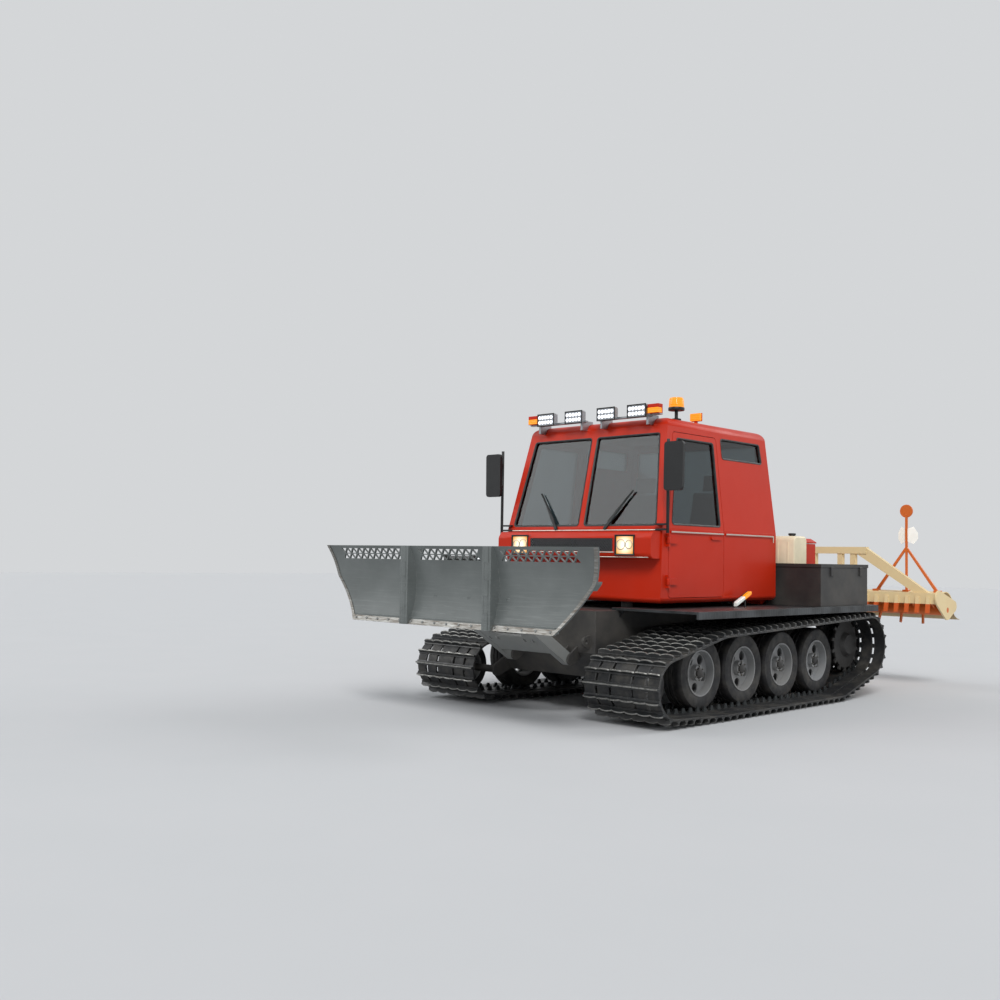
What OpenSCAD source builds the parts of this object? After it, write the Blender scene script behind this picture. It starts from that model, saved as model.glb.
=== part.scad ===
// Tracked snow groomer with a front blade and a rear tiller, both raised for travel.
// Millimetres, +Z up. The front faces -Y and the machine's left side is +X.
// Side profiles are drawn in (y, z), front views in (x, z) and plans in (x, y).

/* [Tracks] */
// Distance over both tracks
track_span = 2900; // [2700:10:3100]
// Width of one track
track_w = 780; // [640:10:820]
// Height of a grouser bar above its belt
bar_h = 45; // [30:1:60]
// Width of a grouser bar at its foot
bar_foot = 44; // [36:1:56]
// Width of a grouser bar at its top
bar_top = 18; // [12:1:30]
// Thickness of the belts
belt_t = 18; // [12:1:24]
// Spacing of the grouser bars along the belt
bar_pitch = 110; // [100:1:180]

/* [Running gear] */
// Number of road wheels on each side
wheel_count = 4; // [3:1:4]
// Place of the first road axle behind the windscreen sill
wheel_y = 300; // [280:5:340]
// Spacing of the road axles
wheel_step = 690; // [670:5:700]
// Outer radius of a tyre
tyre_r = 330; // [300:5:334]
// Width of a tyre
tyre_w = 210; // [160:5:260]
// Radius of a road wheel's rim
rim_r = 205; // [180:5:220]
// Radius of the idler's tyre
idler_r = 235; // [200:5:260]
// Place of the idler axle
idler_y = -470; // [-500:5:-440]
// Height of the idler axle
idler_z = 330; // [320:5:360]
// Radius of the drive sprocket at its tooth tips
sprocket_r = 290; // [270:5:300]
// Place of the sprocket axle
sprocket_y = 3010; // [3000:5:3060]
// Height of the sprocket axle
sprocket_z = 530; // [500:5:560]
// Number of sprocket teeth
tooth_count = 14; // [10:1:18]

/* [Chassis] */
// Gap between the tub and the inner edge of a track
tub_gap = 80; // [60:5:120]
// Height of the tub's floor
tub_floor_z = 330; // [300:5:380]
// Height of the tub's top
tub_top_z = 930; // [920:2:940]
// Thickness of the deck plates over the tracks
deck_t = 24; // [16:1:30]
// Place of the tub's front face
tub_front_y = -480; // [-490:2:-470]
// Place of the tub's rear face
tub_rear_y = 3180; // [3160:5:3200]

/* [Cab] */
// Half-width of the cab at the windscreen sill
cab_half_w = 944; // [900:2:980]
// Half-width of the cab under the roof
roof_half_w = 838; // [800:2:870]
// Height of the cab floor's underside
cab_floor_z = 1000; // [990:2:1020]
// Height of the windscreen sill
sill_z = 1662; // [1640:2:1690]
// Height of the roof's top
roof_z = 2690; // [2660:5:2720]
// Setback of the roof's front edge from the sill
screen_rake = 215; // [180:5:240]
// Place of the cab's rear wall at the sill
cab_rear_y = 1930; // [1900:5:1940]
// Thickness of the cab's walls and doors
wall = 45; // [35:1:48]
// Thickness of the glass
glass_t = 6; // [5:0.5:8]
// Gap all round a door
door_gap = 6; // [5:0.5:8]

/* [Rear body] */
// Half-width of the engine bay
bay_half_w = 740; // [700:5:760]
// Height of the engine bay's walls
bay_top_z = 1590; // [1540:5:1620]
// Thickness of the bay's walls and of the hood
bay_wall = 30; // [20:1:36]

/* [Blade] */
// Half-width of the blade's centre section
centre_half_w = 500; // [460:5:540]
// Half-width of the whole blade at its lower edge
blade_low_half_w = 1200; // [1150:5:1300]
// Half-width of the whole blade at its upper edge
blade_top_half_w = 1620; // [1560:5:1680]
// Height of the blade's lower edge when raised
blade_low_z = 800; // [790:2:830]
// Height of the blade's upper edge when raised
blade_top_z = 1470; // [1450:2:1490]
// Radius of the mouldboard's hollow face
mould_r = 700; // [650:10:800]
// Thickness of the mouldboard
mould_t = 14; // [10:1:18]
// Distance from the arms' front pins to the mouldboard's deepest line
mould_ahead = 384.6; // [380:0.2:400]

/* [Lift linkage] */
// Length of the front lift arms between pins
arm_len = 820; // [800:5:840]
// Angle at which the front arms stand raised
arm_up = 32; // [28:0.5:34]
// Height of the front arms' lower pin
arm_z = 500; // [480:5:520]
// Distance between the lower and upper link pins
link_rise = 320; // [310:2:330]
// Length of the rear lift arms between pins
rear_len = 800; // [780:5:820]
// Angle at which the rear arms stand raised
rear_up = 30; // [27:0.5:31]
// Radius of the large link pins
pin_r = 22; // [18:1:24]

/* [Tiller] */
// Half-width of the tiller's frame
tiller_half_w = 1640; // [1580:5:1680]
// Half-width of its upper beam
truss_half_w = 820; // [760:5:860]
// Height of the rotor axis when raised
rotor_z = 880; // [860:2:900]
// Place of the rotor axis
rotor_y = 4430; // [4420:2:4450]
// Radius of the rotor tube
rotor_r = 62; // [50:1:70]
// Reach of the tines from the rotor axis
tine_r = 165; // [140:1:175]
// Number of tines in one helical row
tine_count = 13; // [9:1:17]

/* [Hidden] */
$fn = 48;

run_fit = 0.05; // radial clearance of a pin that turns in its bore
seat = 0.3; // gap between curved faces that rest on each other
clear = 6; // gap between parts that move past each other
over = 1; // how far a cutting tool runs past a face
tuck = 0.02; // how far a straight side lies inside the tangent of its end circles

// Tracks and wheels
track_out = track_span / 2;
track_in = track_out - track_w;
track_mid = (track_out + track_in) / 2;
wheel_z = bar_h + belt_t + seat + tyre_r;
last_wheel_y = wheel_y + (wheel_count - 1) * wheel_step;
// Columns: y, z, radius; in the order in which the belt passes them
belt_path = [
    [idler_y, idler_z, idler_r],
    [wheel_y, wheel_z, tyre_r],
    [last_wheel_y, wheel_z, tyre_r],
    [sprocket_y, sprocket_z, sprocket_r],
    [wheel_y, wheel_z, tyre_r]];
belt_out = seat + belt_t;
hub_r = 70;
hub_w = 150;
axle_r = 34;
arm_t = 30;
lug_t = 20;
link_w = 80; // width of a top link's eye
link_eye_r = 44;
sprocket_half_w = 90;
tub_half_w = track_in - tub_gap;

// Deck and cab
deck_z = tub_top_z + deck_t;
deck_y0 = -180;
deck_y1 = tub_rear_y - 40;
cab_low_r = 50; // corner radius of the cab below the sill
cab_top_r = 90; // corner radius under the roof
roof_split_z = roof_z - cab_top_r - 10;
// Columns: y, z, corner radius; anticlockwise from the lower front corner
cab_side = [
    [cab_low_r - 20, cab_floor_z + cab_low_r, cab_low_r],
    [cab_rear_y - cab_low_r, cab_floor_z + cab_low_r, cab_low_r],
    [cab_rear_y - cab_low_r, sill_z, cab_low_r],
    [cab_rear_y - 40 - cab_top_r, roof_z - cab_top_r, cab_top_r],
    [screen_rake + cab_top_r, roof_z - cab_top_r, cab_top_r],
    [cab_low_r, sill_z, cab_low_r]];
// Columns: x, z, corner radius
cab_front = [
    [-cab_half_w + cab_low_r, cab_floor_z + cab_low_r, cab_low_r],
    [cab_half_w - cab_low_r, cab_floor_z + cab_low_r, cab_low_r],
    [cab_half_w - cab_low_r, sill_z, cab_low_r],
    [roof_half_w - cab_top_r, roof_z - cab_top_r, cab_top_r],
    [-roof_half_w + cab_top_r, roof_z - cab_top_r, cab_top_r],
    [-cab_half_w + cab_low_r, sill_z, cab_low_r]];
door_y0 = 90;
door_y1 = 985;
door_low_z = cab_floor_z + 45;
door_top_z = roof_split_z - 30;
door_r = 40;
// The door's front edge follows the windscreen pillar above the sill
function pillar_y(z) = door_y0 + 0.85 * screen_rake * (z - sill_z) / (door_top_z - sill_z);
// Columns: y, z, corner radius
door_outline = [
    [door_y0 + door_r, door_low_z + door_r, door_r],
    [door_y1 - door_r, door_low_z + door_r, door_r],
    [door_y1 - door_r, door_top_z - door_r, door_r],
    [pillar_y(door_top_z) + door_r, door_top_z - door_r, door_r],
    [door_y0 + door_r, sill_z, door_r]];
window_rim = 56; // frame left around the door's window
window_low_z = sill_z + 40;
pane_r = 30;
rim_in = window_rim + pane_r;
window_outline = [
    [pillar_y(window_low_z) + rim_in, window_low_z + pane_r, pane_r],
    [door_y1 - rim_in, window_low_z + pane_r, pane_r],
    [door_y1 - rim_in, door_top_z - rim_in, pane_r],
    [pillar_y(door_top_z) + rim_in, door_top_z - rim_in, pane_r]];
hinge_r = 18;
hinge_x = cab_half_w + hinge_r + 1;
hinge_y = door_y0 - 24;
hinge_pin_r = 10;
hinge_h = 60;
hinge_z = [door_low_z + 120, sill_z - 130];

// Rear body
bay_y0 = cab_rear_y + 60;
bay_y1 = tub_rear_y - 60;
hood_z = bay_top_z + clear;
hood_hinge = [bay_y0 - 14, hood_z + 8];
hood_hinge_x = [-500, 500];
hood_eye_r = 10;
hood_pin_r = 6;
well_y0 = bay_y0 + 110;
well_y1 = bay_y1 - 90;
well_z = 600;
well_half_w = 480;

// Front lift linkage, raised; every pin lies along X
arm_pin = [tub_front_y - 80, arm_z];
arm_x = 335; // middle of a lift arm
arm_w = 70;
arm_d = 100;
eye_r = 52;
arm_end = arm_pin + arm_len * [-cos(arm_up), sin(arm_up)];
mould_y = arm_end[0] - mould_ahead;
link_pin = arm_pin + [0, link_rise];
link_end = arm_end + [0, link_rise];
lift_x = 210;
lift_reach = 400; // along the arm from its pin to the cylinder's eye
lift_off = 60; // above the arm's centre line
lift_eye = arm_pin + lift_reach * [-cos(arm_up), sin(arm_up)]
    + lift_off * [sin(arm_up), cos(arm_up)];
lift_base = [tub_front_y + 40, tub_top_z + 250];

// Swivel, tilt and wings
king_y = arm_end[0] - 165;
king_r = 35;
tilt_z = (arm_end[1] + link_end[1]) / 2 - 10;
tilt_r = 40;
wing_y = mould_y - mould_r + sqrt(pow(mould_r, 2) - pow((blade_top_z - blade_low_z) / 2, 2)) - 10;
wing_knuckle_r = 22;
wing_pin_r = 11;
king_top = link_end[1] + 40;
lever_z = king_top + clear;
lever_t = 20;
swivel_z = lever_z + lever_t + clear + 35;
swivel_eye = [27, king_y + 110];
swivel_base = [swivel_eye[0] - 450, swivel_eye[1]];
tilt_eye = [95, tilt_z + 205];
tilt_base = [tilt_eye[0] - 440, tilt_eye[1]];
tilt_y = king_y - 122;
hub_y = [mould_y + 30, king_y - 92];
wing_cyl_z = 1000;
wing_base = [centre_half_w - 300, wing_y + 265];
wing_eye = [centre_half_w + 150, wing_y + 265];

// Rear lift linkage, raised
rear_pin = [tub_rear_y + 80, 560];
rear_x = 335;
rear_end = rear_pin + rear_len * [cos(rear_up), sin(rear_up)];
rear_link_pin = rear_pin + [0, link_rise];
rear_link_end = rear_end + [0, link_rise];
rear_reach = 400;
rear_eye = rear_pin + rear_reach * [cos(rear_up), sin(rear_up)]
    + lift_off * [-sin(rear_up), cos(rear_up)];
rear_base = [tub_rear_y + 30, tub_top_z + 300];
recovery_eye = [tub_front_y - 50, 660];
recovery_x = tub_half_w - 70;
recovery_t = 24;
recovery_r = 18;
tow_y = tub_rear_y + 70;
tow_z = 520; // middle of the tow plate
tow_t = 40;
tow_r = 21;

// Tiller
tiller_pin = rear_end + [90, 40];
beam_s = 120;
beam_y = rotor_y - tine_r - beam_s / 2;
beam_z = rotor_z + 130;
upper_z = beam_z + 530;
end_t = 20;
flap_end_y = rotor_y + 430;

// Whole machine, along Y: from the blade's knuckles to the flap's trailing edge
front_y = wing_y - wing_knuckle_r;
rear_y = flap_end_y;
origin_y = -(front_y + rear_y) / 2;

// Convex outlines made of circles and their common tangents
function next(c, k) = c[(k + 1) % len(c)];
function tangent_angle(c, k) = let (a = c[k], b = next(c, k), d = [b[0] - a[0], b[1] - a[1]])
    atan2(d[1], d[0]) - acos((a[2] - b[2]) / norm(d));
function on_circle(a, angle, grow = 0) = [a[0], a[1]] + (a[2] + grow) * [cos(angle), sin(angle)];
function tangent_points(c, grow) = [for (k = [0:len(c) - 1], end = [0, 1])
    on_circle(end == 0 ? c[k] : next(c, k), tangent_angle(c, k), grow)];
module belt2d(c, grow = 0) {
    for (a = c) translate([a[0], a[1]]) circle(r = a[2] + grow);
    polygon(tangent_points(c, grow - tuck));
}

// Places along the belt's outer face
function wrap(angle) = angle - 360 * floor(angle / 360);
function sum_to(v, k) = k <= 0 ? 0 : v[k - 1] + sum_to(v, k - 1);
path_n = len(belt_path);
turn = [for (k = [0:path_n - 1]) tangent_angle(belt_path, k)];
arc_start = [for (k = [0:path_n - 1]) turn[(k + path_n - 1) % path_n]];
function run_length(k) = let (a = belt_path[k], b = next(belt_path, k))
    sqrt(pow(b[0] - a[0], 2) + pow(b[1] - a[1], 2) - pow(a[2] - b[2], 2));
// Arcs and straight runs by turns
run = [for (k = [0:path_n - 1], straight = [0, 1]) straight == 1 ? run_length(k)
    : (belt_path[k][2] + belt_out) * wrap(turn[k] - arc_start[k]) * PI / 180];
belt_len = sum_to(run, len(run));
bar_count = round(belt_len / bar_pitch);
bar_step = belt_len / bar_count;
function run_at(s, i = 0) = i >= len(run) - 1 || s < sum_to(run, i + 1) ? i : run_at(s, i + 1);
// Returns the point and the outward normal's angle
function belt_at(s0) = let (s = s0 - belt_len * floor(s0 / belt_len), i = run_at(s),
    k = floor(i / 2), along = s - sum_to(run, i), a = belt_path[k])
    i % 2 == 0 ? let (angle = arc_start[k] + along / (a[2] + belt_out) * 180 / PI)
        [on_circle(a, angle, belt_out), angle]
    : [on_circle(a, turn[k], belt_out) + along * [-sin(turn[k]), cos(turn[k])], turn[k]];
function bar_points(s) = let (low = belt_at(s - bar_foot / 2), high = belt_at(s + bar_foot / 2),
    mid = belt_at(s), out = [cos(mid[1]), sin(mid[1])], along = [-out[1], out[0]])
    [low[0], mid[0] + bar_h * out - bar_top / 2 * along,
     mid[0] + bar_h * out + bar_top / 2 * along, high[0]];

// Placing
module machine() { translate([0, origin_y, 0]) children(); }
module both() { children(); mirror([1, 0, 0]) children(); }
module along_x(x0, x1) { translate([x0, 0, 0]) rotate([90, 0, 90]) linear_extrude(x1 - x0) children(); }
module along_y(y0, y1) { translate([0, y1, 0]) rotate([90, 0, 0]) linear_extrude(y1 - y0) children(); }
module along_z(z0, z1) { translate([0, 0, z0]) linear_extrude(z1 - z0) children(); }
module xcyl(p, r, x0, x1) { along_x(x0, x1) translate(p) circle(r = r); }
module ycyl(p, r, y0, y1) { along_y(y0, y1) translate(p) circle(r = r); }
module zcyl(p, r, z0, z1) { along_z(z0, z1) translate(p) circle(r = r); }
module block(x, y, z) {
    translate([x[0], y[0], z[0]]) cube([x[1] - x[0], y[1] - y[0], z[1] - z[0]]);
}
module box_x(x, y, z) { both() block(x, y, z); }

// A cylinder's barrel and rod lie along +X from the barrel's eye; eyes turn about Z
eye_w = 70;
rod_back = 60; // from the barrel's eye to the rod's inner end when shut
module barrel(shut, r, rod, eye, pin) {
    difference() {
        union() {
            cylinder(r = eye, h = eye_w, center = true);
            rotate([0, 90, 0]) translate([0, 0, eye * 0.8]) cylinder(r = r, h = shut - 75 - eye * 0.8);
            rotate([0, 90, 0]) translate([0, 0, shut - 105]) cylinder(r = r + 6, h = 30);
        }
        cylinder(r = pin + run_fit, h = eye_w + 2 * over, center = true);
        rotate([0, 90, 0]) translate([0, 0, rod_back - 8]) cylinder(r = rod + run_fit, h = shut);
    }
}
// length is from the barrel's eye to the rod's eye in the pose that is drawn
module rod(shut, length, rod, eye, pin) {
    translate([length, 0, 0]) cylinder(r = eye, h = eye_w, center = true);
    translate([length, 0, 0]) cylinder(r = pin, h = eye_w + 4, center = true);
    rotate([0, 90, 0]) translate([0, 0, length - shut + rod_back]) cylinder(r = rod, h = shut - rod_back);
}
// Lays a cylinder in the (y, z) plane at x, from base towards eye
module aim_yz(x, base, eye) {
    angle = atan2(eye[1] - base[1], eye[0] - base[0]);
    translate([x, base[0], base[1]]) rotate([angle, 0, 0]) rotate([90, 0, 90]) children();
}
module aim_xy(z, base, eye) {
    translate([base[0], base[1], z]) rotate([0, 0, atan2(eye[1] - base[1], eye[0] - base[0])]) children();
}
module aim_xz(y, base, eye) {
    translate([base[0], y, base[1]]) rotate([90, 0, 0])
        rotate([0, 0, atan2(eye[1] - base[1], eye[0] - base[0])])
        children();
}
function span(a, b) = norm([b[0] - a[0], b[1] - a[1]]);
lift_shut = span(lift_base, lift_eye);
rear_shut = span(rear_base, rear_eye);
lift_r = 36;
lift_rod_r = 24;
small_r = 28;
small_rod_r = 16;
lift_eye_r = 40;
small_eye_r = 30;
lift_pin_r = 20;
small_pin_r = 14;
swivel_shut = span(swivel_base, swivel_eye) - 30;
tilt_shut = span(tilt_base, tilt_eye) - 30;
wing_shut = span(wing_base, wing_eye);

// Two lugs on a common pin along X
module lugs_x(x, p, r, gap, t, foot) {
    for (side = [-1, 1]) along_x(x + side * (gap + t) / 2 - t / 2, x + side * (gap + t) / 2 + t / 2)
        belt2d([[p[0], p[1], r], [foot[0], foot[1], r]]);
}

// Chassis and running gear
module tub_profile() {
    polygon([[tub_front_y, 560], [tub_front_y + 180, tub_floor_z], [tub_rear_y - 230, tub_floor_z],
        [tub_rear_y, 500], [tub_rear_y, tub_top_z], [tub_front_y, tub_top_z]]);
}
module tub() { along_x(-tub_half_w, tub_half_w) tub_profile(); }
module chassis() {
    color("dimgray") machine() difference() {
        tub();
        block([-well_half_w, well_half_w], [well_y0, well_y1], [well_z, tub_top_z + over]);
    }
}
// Lugs with their pins, recovery eyes, tow plate and cab mounts, each welded to the tub's faces
module brackets() {
    color("dimgray") machine() difference() {
        union() {
            for (x = [-arm_x, arm_x]) {
                lugs_x(x, arm_pin, eye_r, arm_w + 2 * clear, lug_t, [tub_front_y + 10, arm_pin[1] + 60]);
                lugs_x(x, rear_pin, eye_r, arm_w + 2 * clear, lug_t, [tub_rear_y - 10, rear_pin[1]]);
                xcyl(arm_pin, pin_r, x - 60, x + 60);
                xcyl(rear_pin, pin_r, x - 60, x + 60);
            }
            lugs_x(0, link_pin, link_eye_r, link_w + 2 * clear, lug_t, [tub_front_y + 10, link_pin[1]]);
            lugs_x(0, rear_link_pin, link_eye_r, link_w + 2 * clear, lug_t,
                [tub_rear_y - 10, rear_link_pin[1]]);
            xcyl(link_pin, lift_pin_r, -60, 60);
            xcyl(rear_link_pin, lift_pin_r, -60, 60);
            for (x = [-lift_x, lift_x]) {
                lugs_x(x, lift_base, lift_eye_r, eye_w + 2 * clear, lug_t, [tub_front_y + 60, tub_top_z]);
                lugs_x(x, rear_base, lift_eye_r, eye_w + 2 * clear, lug_t, [tub_rear_y - 10, tub_top_z]);
                xcyl(lift_base, lift_pin_r, x - 60, x + 60);
                xcyl(rear_base, lift_pin_r, x - 60, x + 60);
            }
            both() along_x(recovery_x - recovery_t / 2, recovery_x + recovery_t / 2)
                belt2d([[recovery_eye[0], recovery_eye[1], 45], [tub_front_y + 20, recovery_eye[1], 60]]);
            along_z(tow_z - tow_t / 2, tow_z + tow_t / 2)
                belt2d([[0, tow_y, 55], [0, tub_rear_y - 40, 90]]);
            for (y = [120, cab_rear_y - 150]) both()
                zcyl([tub_half_w - 120, y], 55, tub_top_z - over, cab_floor_z);
        }
        tub();
        both() xcyl(recovery_eye, recovery_r, recovery_x - recovery_t, recovery_x + recovery_t);
        zcyl([0, tow_y], tow_r, tow_z - tow_t, tow_z + tow_t);
    }
}
// A trailing arm from the tub's side to each axle
module wheel_arms() {
    color("gray") machine() both() {
        for (k = [0:wheel_count - 1]) let (axle = [wheel_y + k * wheel_step, wheel_z]) {
            along_x(tub_half_w, tub_half_w + arm_t)
                belt2d([[axle[0], axle[1], 60], [axle[0] - 260, axle[1] + 110, 75]]);
            xcyl(axle, axle_r, tub_half_w + arm_t - over, track_mid + hub_w / 2 - 20);
        }
        along_x(tub_half_w, tub_half_w + arm_t)
            belt2d([[idler_y, idler_z, 60], [idler_y + 300, idler_z + 130, 80]]);
        xcyl([idler_y, idler_z], axle_r, tub_half_w + arm_t - over, track_mid + hub_w / 2 - 20);
        xcyl([sprocket_y, sprocket_z], 130, tub_half_w, track_mid - sprocket_half_w - seat);
    }
}
// Revolves a profile of (radius, offset) about an axis along X through p at x
module wheel_at(x, p) { translate([x, p[0], p[1]]) rotate([0, 90, 0]) children(); }
module rim(r) {
    difference() {
        union() {
            rotate_extrude() polygon([[axle_r + run_fit, -hub_w / 2], [hub_r, -hub_w / 2],
                [hub_r, 16], [r - 22, 16], [r - 12, -tyre_w / 2 + 6], [r, -tyre_w / 2 + 6],
                [r, tyre_w / 2 - 6], [r - 12, tyre_w / 2 - 6], [r - 22, 30], [hub_r, 30],
                [hub_r, hub_w / 2], [axle_r + run_fit, hub_w / 2]]);
        }
        for (k = [0:4]) rotate([0, 0, 72 * k]) translate([(r + hub_r) / 2 - 4, 0, -60])
            cylinder(r = (r - hub_r) / 2 - 24, h = 140);
    }
}
module tyre(r, rim) {
    rotate_extrude() polygon([[rim + seat, -tyre_w / 2 + 16], [r - 50, -tyre_w / 2], [r, -tyre_w / 2 + 40],
        [r, tyre_w / 2 - 40], [r - 50, tyre_w / 2], [rim + seat, tyre_w / 2 - 16]]);
}
module each_wheel() {
    for (k = [0:wheel_count - 1]) wheel_at(track_mid, [wheel_y + k * wheel_step, wheel_z]) children(0);
    wheel_at(track_mid, [idler_y, idler_z]) children(1);
}
module road_wheels() {
    color("silver") machine() both() each_wheel() { rim(rim_r); rim(rim_r - 60); }
}
module tyres() {
    color("black") machine() both() each_wheel() { tyre(tyre_r, rim_r); tyre(idler_r, rim_r - 60); }
}
module sprocket_plate() {
    intersection() {
        circle(r = sprocket_r);
        union() {
            circle(r = sprocket_r - 42);
            for (k = [0:tooth_count - 1]) rotate([0, 0, 360 * k / tooth_count])
                polygon([[0, -34], [sprocket_r, -15], [sprocket_r, 15], [0, 34]]);
        }
    }
}
module sprockets() {
    color("darkorange") machine() both() wheel_at(track_mid, [sprocket_y, sprocket_z]) {
        for (z = [-sprocket_half_w, sprocket_half_w - 24]) translate([0, 0, z]) linear_extrude(24)
            sprocket_plate();
        translate([0, 0, 20 - sprocket_half_w]) cylinder(r = 150, h = 2 * sprocket_half_w - 40);
        translate([0, 0, sprocket_half_w]) cylinder(r1 = 130, r2 = 100, h = 45);
    }
}
module track() {
    color("black") machine() along_x(track_in, track_out) difference() {
        polygon([for (i = [0:bar_count - 1]) each bar_points(i * bar_step)]);
        belt2d(belt_path, seat);
    }
}
module track_left() { track(); }
module track_right() { mirror([1, 0, 0]) track(); }
// Deck plates over the tracks, with gussets down to the tub's sides
module decks() {
    color("dimgray") machine() both() {
        block([tub_half_w - 60, track_out - 20], [deck_y0, deck_y1], [tub_top_z, deck_z]);
        for (y = [deck_y0 + 30, 900, 1900, deck_y1 - 150]) along_y(y, y + 12)
            polygon([[tub_half_w, tub_top_z - 60], [tub_half_w, tub_top_z], [tub_half_w + 55, tub_top_z]]);
        block([track_out - 20, track_out + 4], [deck_y0, deck_y1], [tub_top_z - 40, deck_z]);
    }
}

// Cab
module cab_solid(inset = 0) {
    intersection() {
        along_x(-cab_half_w - 5, cab_half_w + 5) belt2d(cab_side, -inset);
        along_y(-60, cab_rear_y + 60) belt2d(cab_front, -inset);
    }
}
module cab_skin(from = 0, to = 0) { difference() { cab_solid(from); cab_solid(to); } }
post_half_w = 32;
screen_low_z = sill_z + 30;
screen_top_z = roof_split_z - 45;
// Columns: x, z, corner radius of the left pane of the windscreen
screen_outline = [
    [post_half_w + pane_r, screen_low_z + pane_r, pane_r],
    [cab_half_w - 75 - pane_r, screen_low_z + pane_r, pane_r],
    [roof_half_w - 70 - pane_r, screen_top_z - pane_r, pane_r],
    [post_half_w + pane_r, screen_top_z - pane_r, pane_r]];
quarter_low_z = door_top_z - 200;
quarter_outline = [
    [door_y1 + 75 + pane_r, quarter_low_z + pane_r, pane_r],
    [cab_rear_y - 180, quarter_low_z + pane_r, pane_r],
    [cab_rear_y - 195, door_top_z - pane_r, pane_r],
    [door_y1 + 75 + pane_r, door_top_z - pane_r, pane_r]];
rear_outline = [
    [-cab_half_w + 190, 1760, pane_r], [cab_half_w - 190, 1760, pane_r],
    [roof_half_w - 130, door_top_z - pane_r, pane_r], [-roof_half_w + 130, door_top_z - pane_r, pane_r]];
// A flat pane that follows one straight wall of an outline, sunk below its face
pane_in = 18;
module pane2d(c, k) {
    angle = tangent_angle(c, k);
    polygon([on_circle(c[k], angle, -pane_in), on_circle(next(c, k), angle, -pane_in),
        on_circle(next(c, k), angle, -pane_in - glass_t), on_circle(c[k], angle, -pane_in - glass_t)]);
}
module side_pane() { along_y(0, cab_rear_y) pane2d(cab_front, 2); }
module screen_cut(grow = 0) { along_y(-40, screen_rake + 130) both() belt2d(screen_outline, grow); }
module quarter_cut(grow = 0) {
    both() along_x(roof_half_w - 70, cab_half_w + 10) belt2d(quarter_outline, grow);
}
module rear_cut(grow = 0) { along_y(cab_rear_y - 150, cab_rear_y + 10) belt2d(rear_outline, grow); }
module side_cut() { along_x(roof_half_w - 70, cab_half_w + 10) children(); }
module below_roof() { block([-1000, 1000], [-100, 2000], [cab_floor_z - 10, roof_split_z]); }
module hinge_lugs() {
    for (z = hinge_z) {
        for (at = [z - 28, z + hinge_h + clear])
            block([cab_half_w - 20, hinge_x + 14], [hinge_y - 14, hinge_y + 14], [at, at + 22]);
        zcyl([hinge_x, hinge_y], hinge_pin_r, z - 28, z + hinge_h + clear + 22);
    }
}
module cab_frame() {
    color("orangered") machine() {
        difference() {
            intersection() {
                cab_skin(0, wall);
                below_roof();
            }
            screen_cut();
            quarter_cut();
            rear_cut();
            both() side_cut() belt2d(door_outline);
        }
        both() difference() {
            hinge_lugs();
            cab_solid();
        }
        both() sill_strip(door_y1 + 20, cab_rear_y - 60);
    }
}
module cab_roof() {
    color("orangered") machine() difference() {
        cab_skin(0, wall);
        below_roof();
    }
}
module windscreen() {
    color("lightblue", 0.4) machine() intersection() {
        along_x(-cab_half_w, cab_half_w) pane2d(cab_side, 4);
        screen_cut(-seat);
    }
}
module cab_glass() {
    color("lightblue", 0.4) machine() {
        both() intersection() {
            side_pane();
            side_cut() belt2d(quarter_outline, -seat);
        }
        intersection() {
            along_x(-cab_half_w, cab_half_w) pane2d(cab_side, 2);
            rear_cut(-seat);
        }
    }
}
// Rubbing strip along the side at the height of the sill
module sill_strip(y0, y1) {
    block([cab_half_w - over, cab_half_w + 10], [y0, y1], [sill_z - 36, sill_z - 14]);
}
module door_leaf() {
    difference() {
        intersection() {
            cab_skin(0, wall);
            side_cut() belt2d(door_outline, -door_gap);
        }
        side_cut() belt2d(window_outline);
    }
    difference() {
        union() {
            for (z = hinge_z) {
                zcyl([hinge_x, hinge_y], hinge_r, z, z + hinge_h);
                block([hinge_x - 10, hinge_x], [hinge_y, hinge_y + 140], [z, z + hinge_h]);
                block([cab_half_w - over, hinge_x - 10], [door_y0 + 16, hinge_y + 140], [z, z + hinge_h]);
            }
        }
        for (z = hinge_z) zcyl([hinge_x, hinge_y], hinge_pin_r + run_fit, z - over, z + hinge_h + over);
    }
    along_x(cab_half_w - over, cab_half_w + 14)
        belt2d([[door_y1 - 80, sill_z - 66, 16], [door_y1 - 210, sill_z - 66, 16]]);
    sill_strip(door_y0 + 30, door_y1 - 20);
}
module glass_leaf() {
    intersection() {
        side_pane();
        side_cut() belt2d(window_outline, -seat);
    }
}
module door_left() { color("orangered") machine() door_leaf(); }
module door_right() { color("orangered") machine() mirror([1, 0, 0]) door_leaf(); }
module glass_left() { color("lightblue", 0.4) machine() glass_leaf(); }
module glass_right() { color("lightblue", 0.4) machine() mirror([1, 0, 0]) glass_leaf(); }

// Front panel with the headlamps and the grille
panel_y = -150;
panel_low_z = 1395;
panel_top_z = sill_z - 24;
panel_half_w = cab_half_w - 14;
lamp_x = 640;
lamp_z = 1512;
lamp_half_w = 105;
lamp_half_h = 88;
grille_half_w = lamp_x - lamp_half_w - 30;
grille_depth = 60;
module front_panel() {
    color("orangered") machine() difference() {
        along_x(-panel_half_w, panel_half_w)
            belt2d([[panel_y + 50, panel_low_z + 50, 50], [40, panel_low_z + 30, 30],
                [40, panel_top_z - 10, 10], [panel_y + 60, panel_top_z - 40, 40],
                [panel_y + 40, panel_top_z - 70, 40]]);
        cab_solid(-seat);
        both() block([lamp_x - lamp_half_w, lamp_x + lamp_half_w], [panel_y - 10, panel_y + 90],
            [lamp_z - lamp_half_h, lamp_z + lamp_half_h]);
        block([-grille_half_w, grille_half_w], [panel_y - 10, panel_y + grille_depth],
            [lamp_z - 58, lamp_z + 62]);
    }
}
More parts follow.
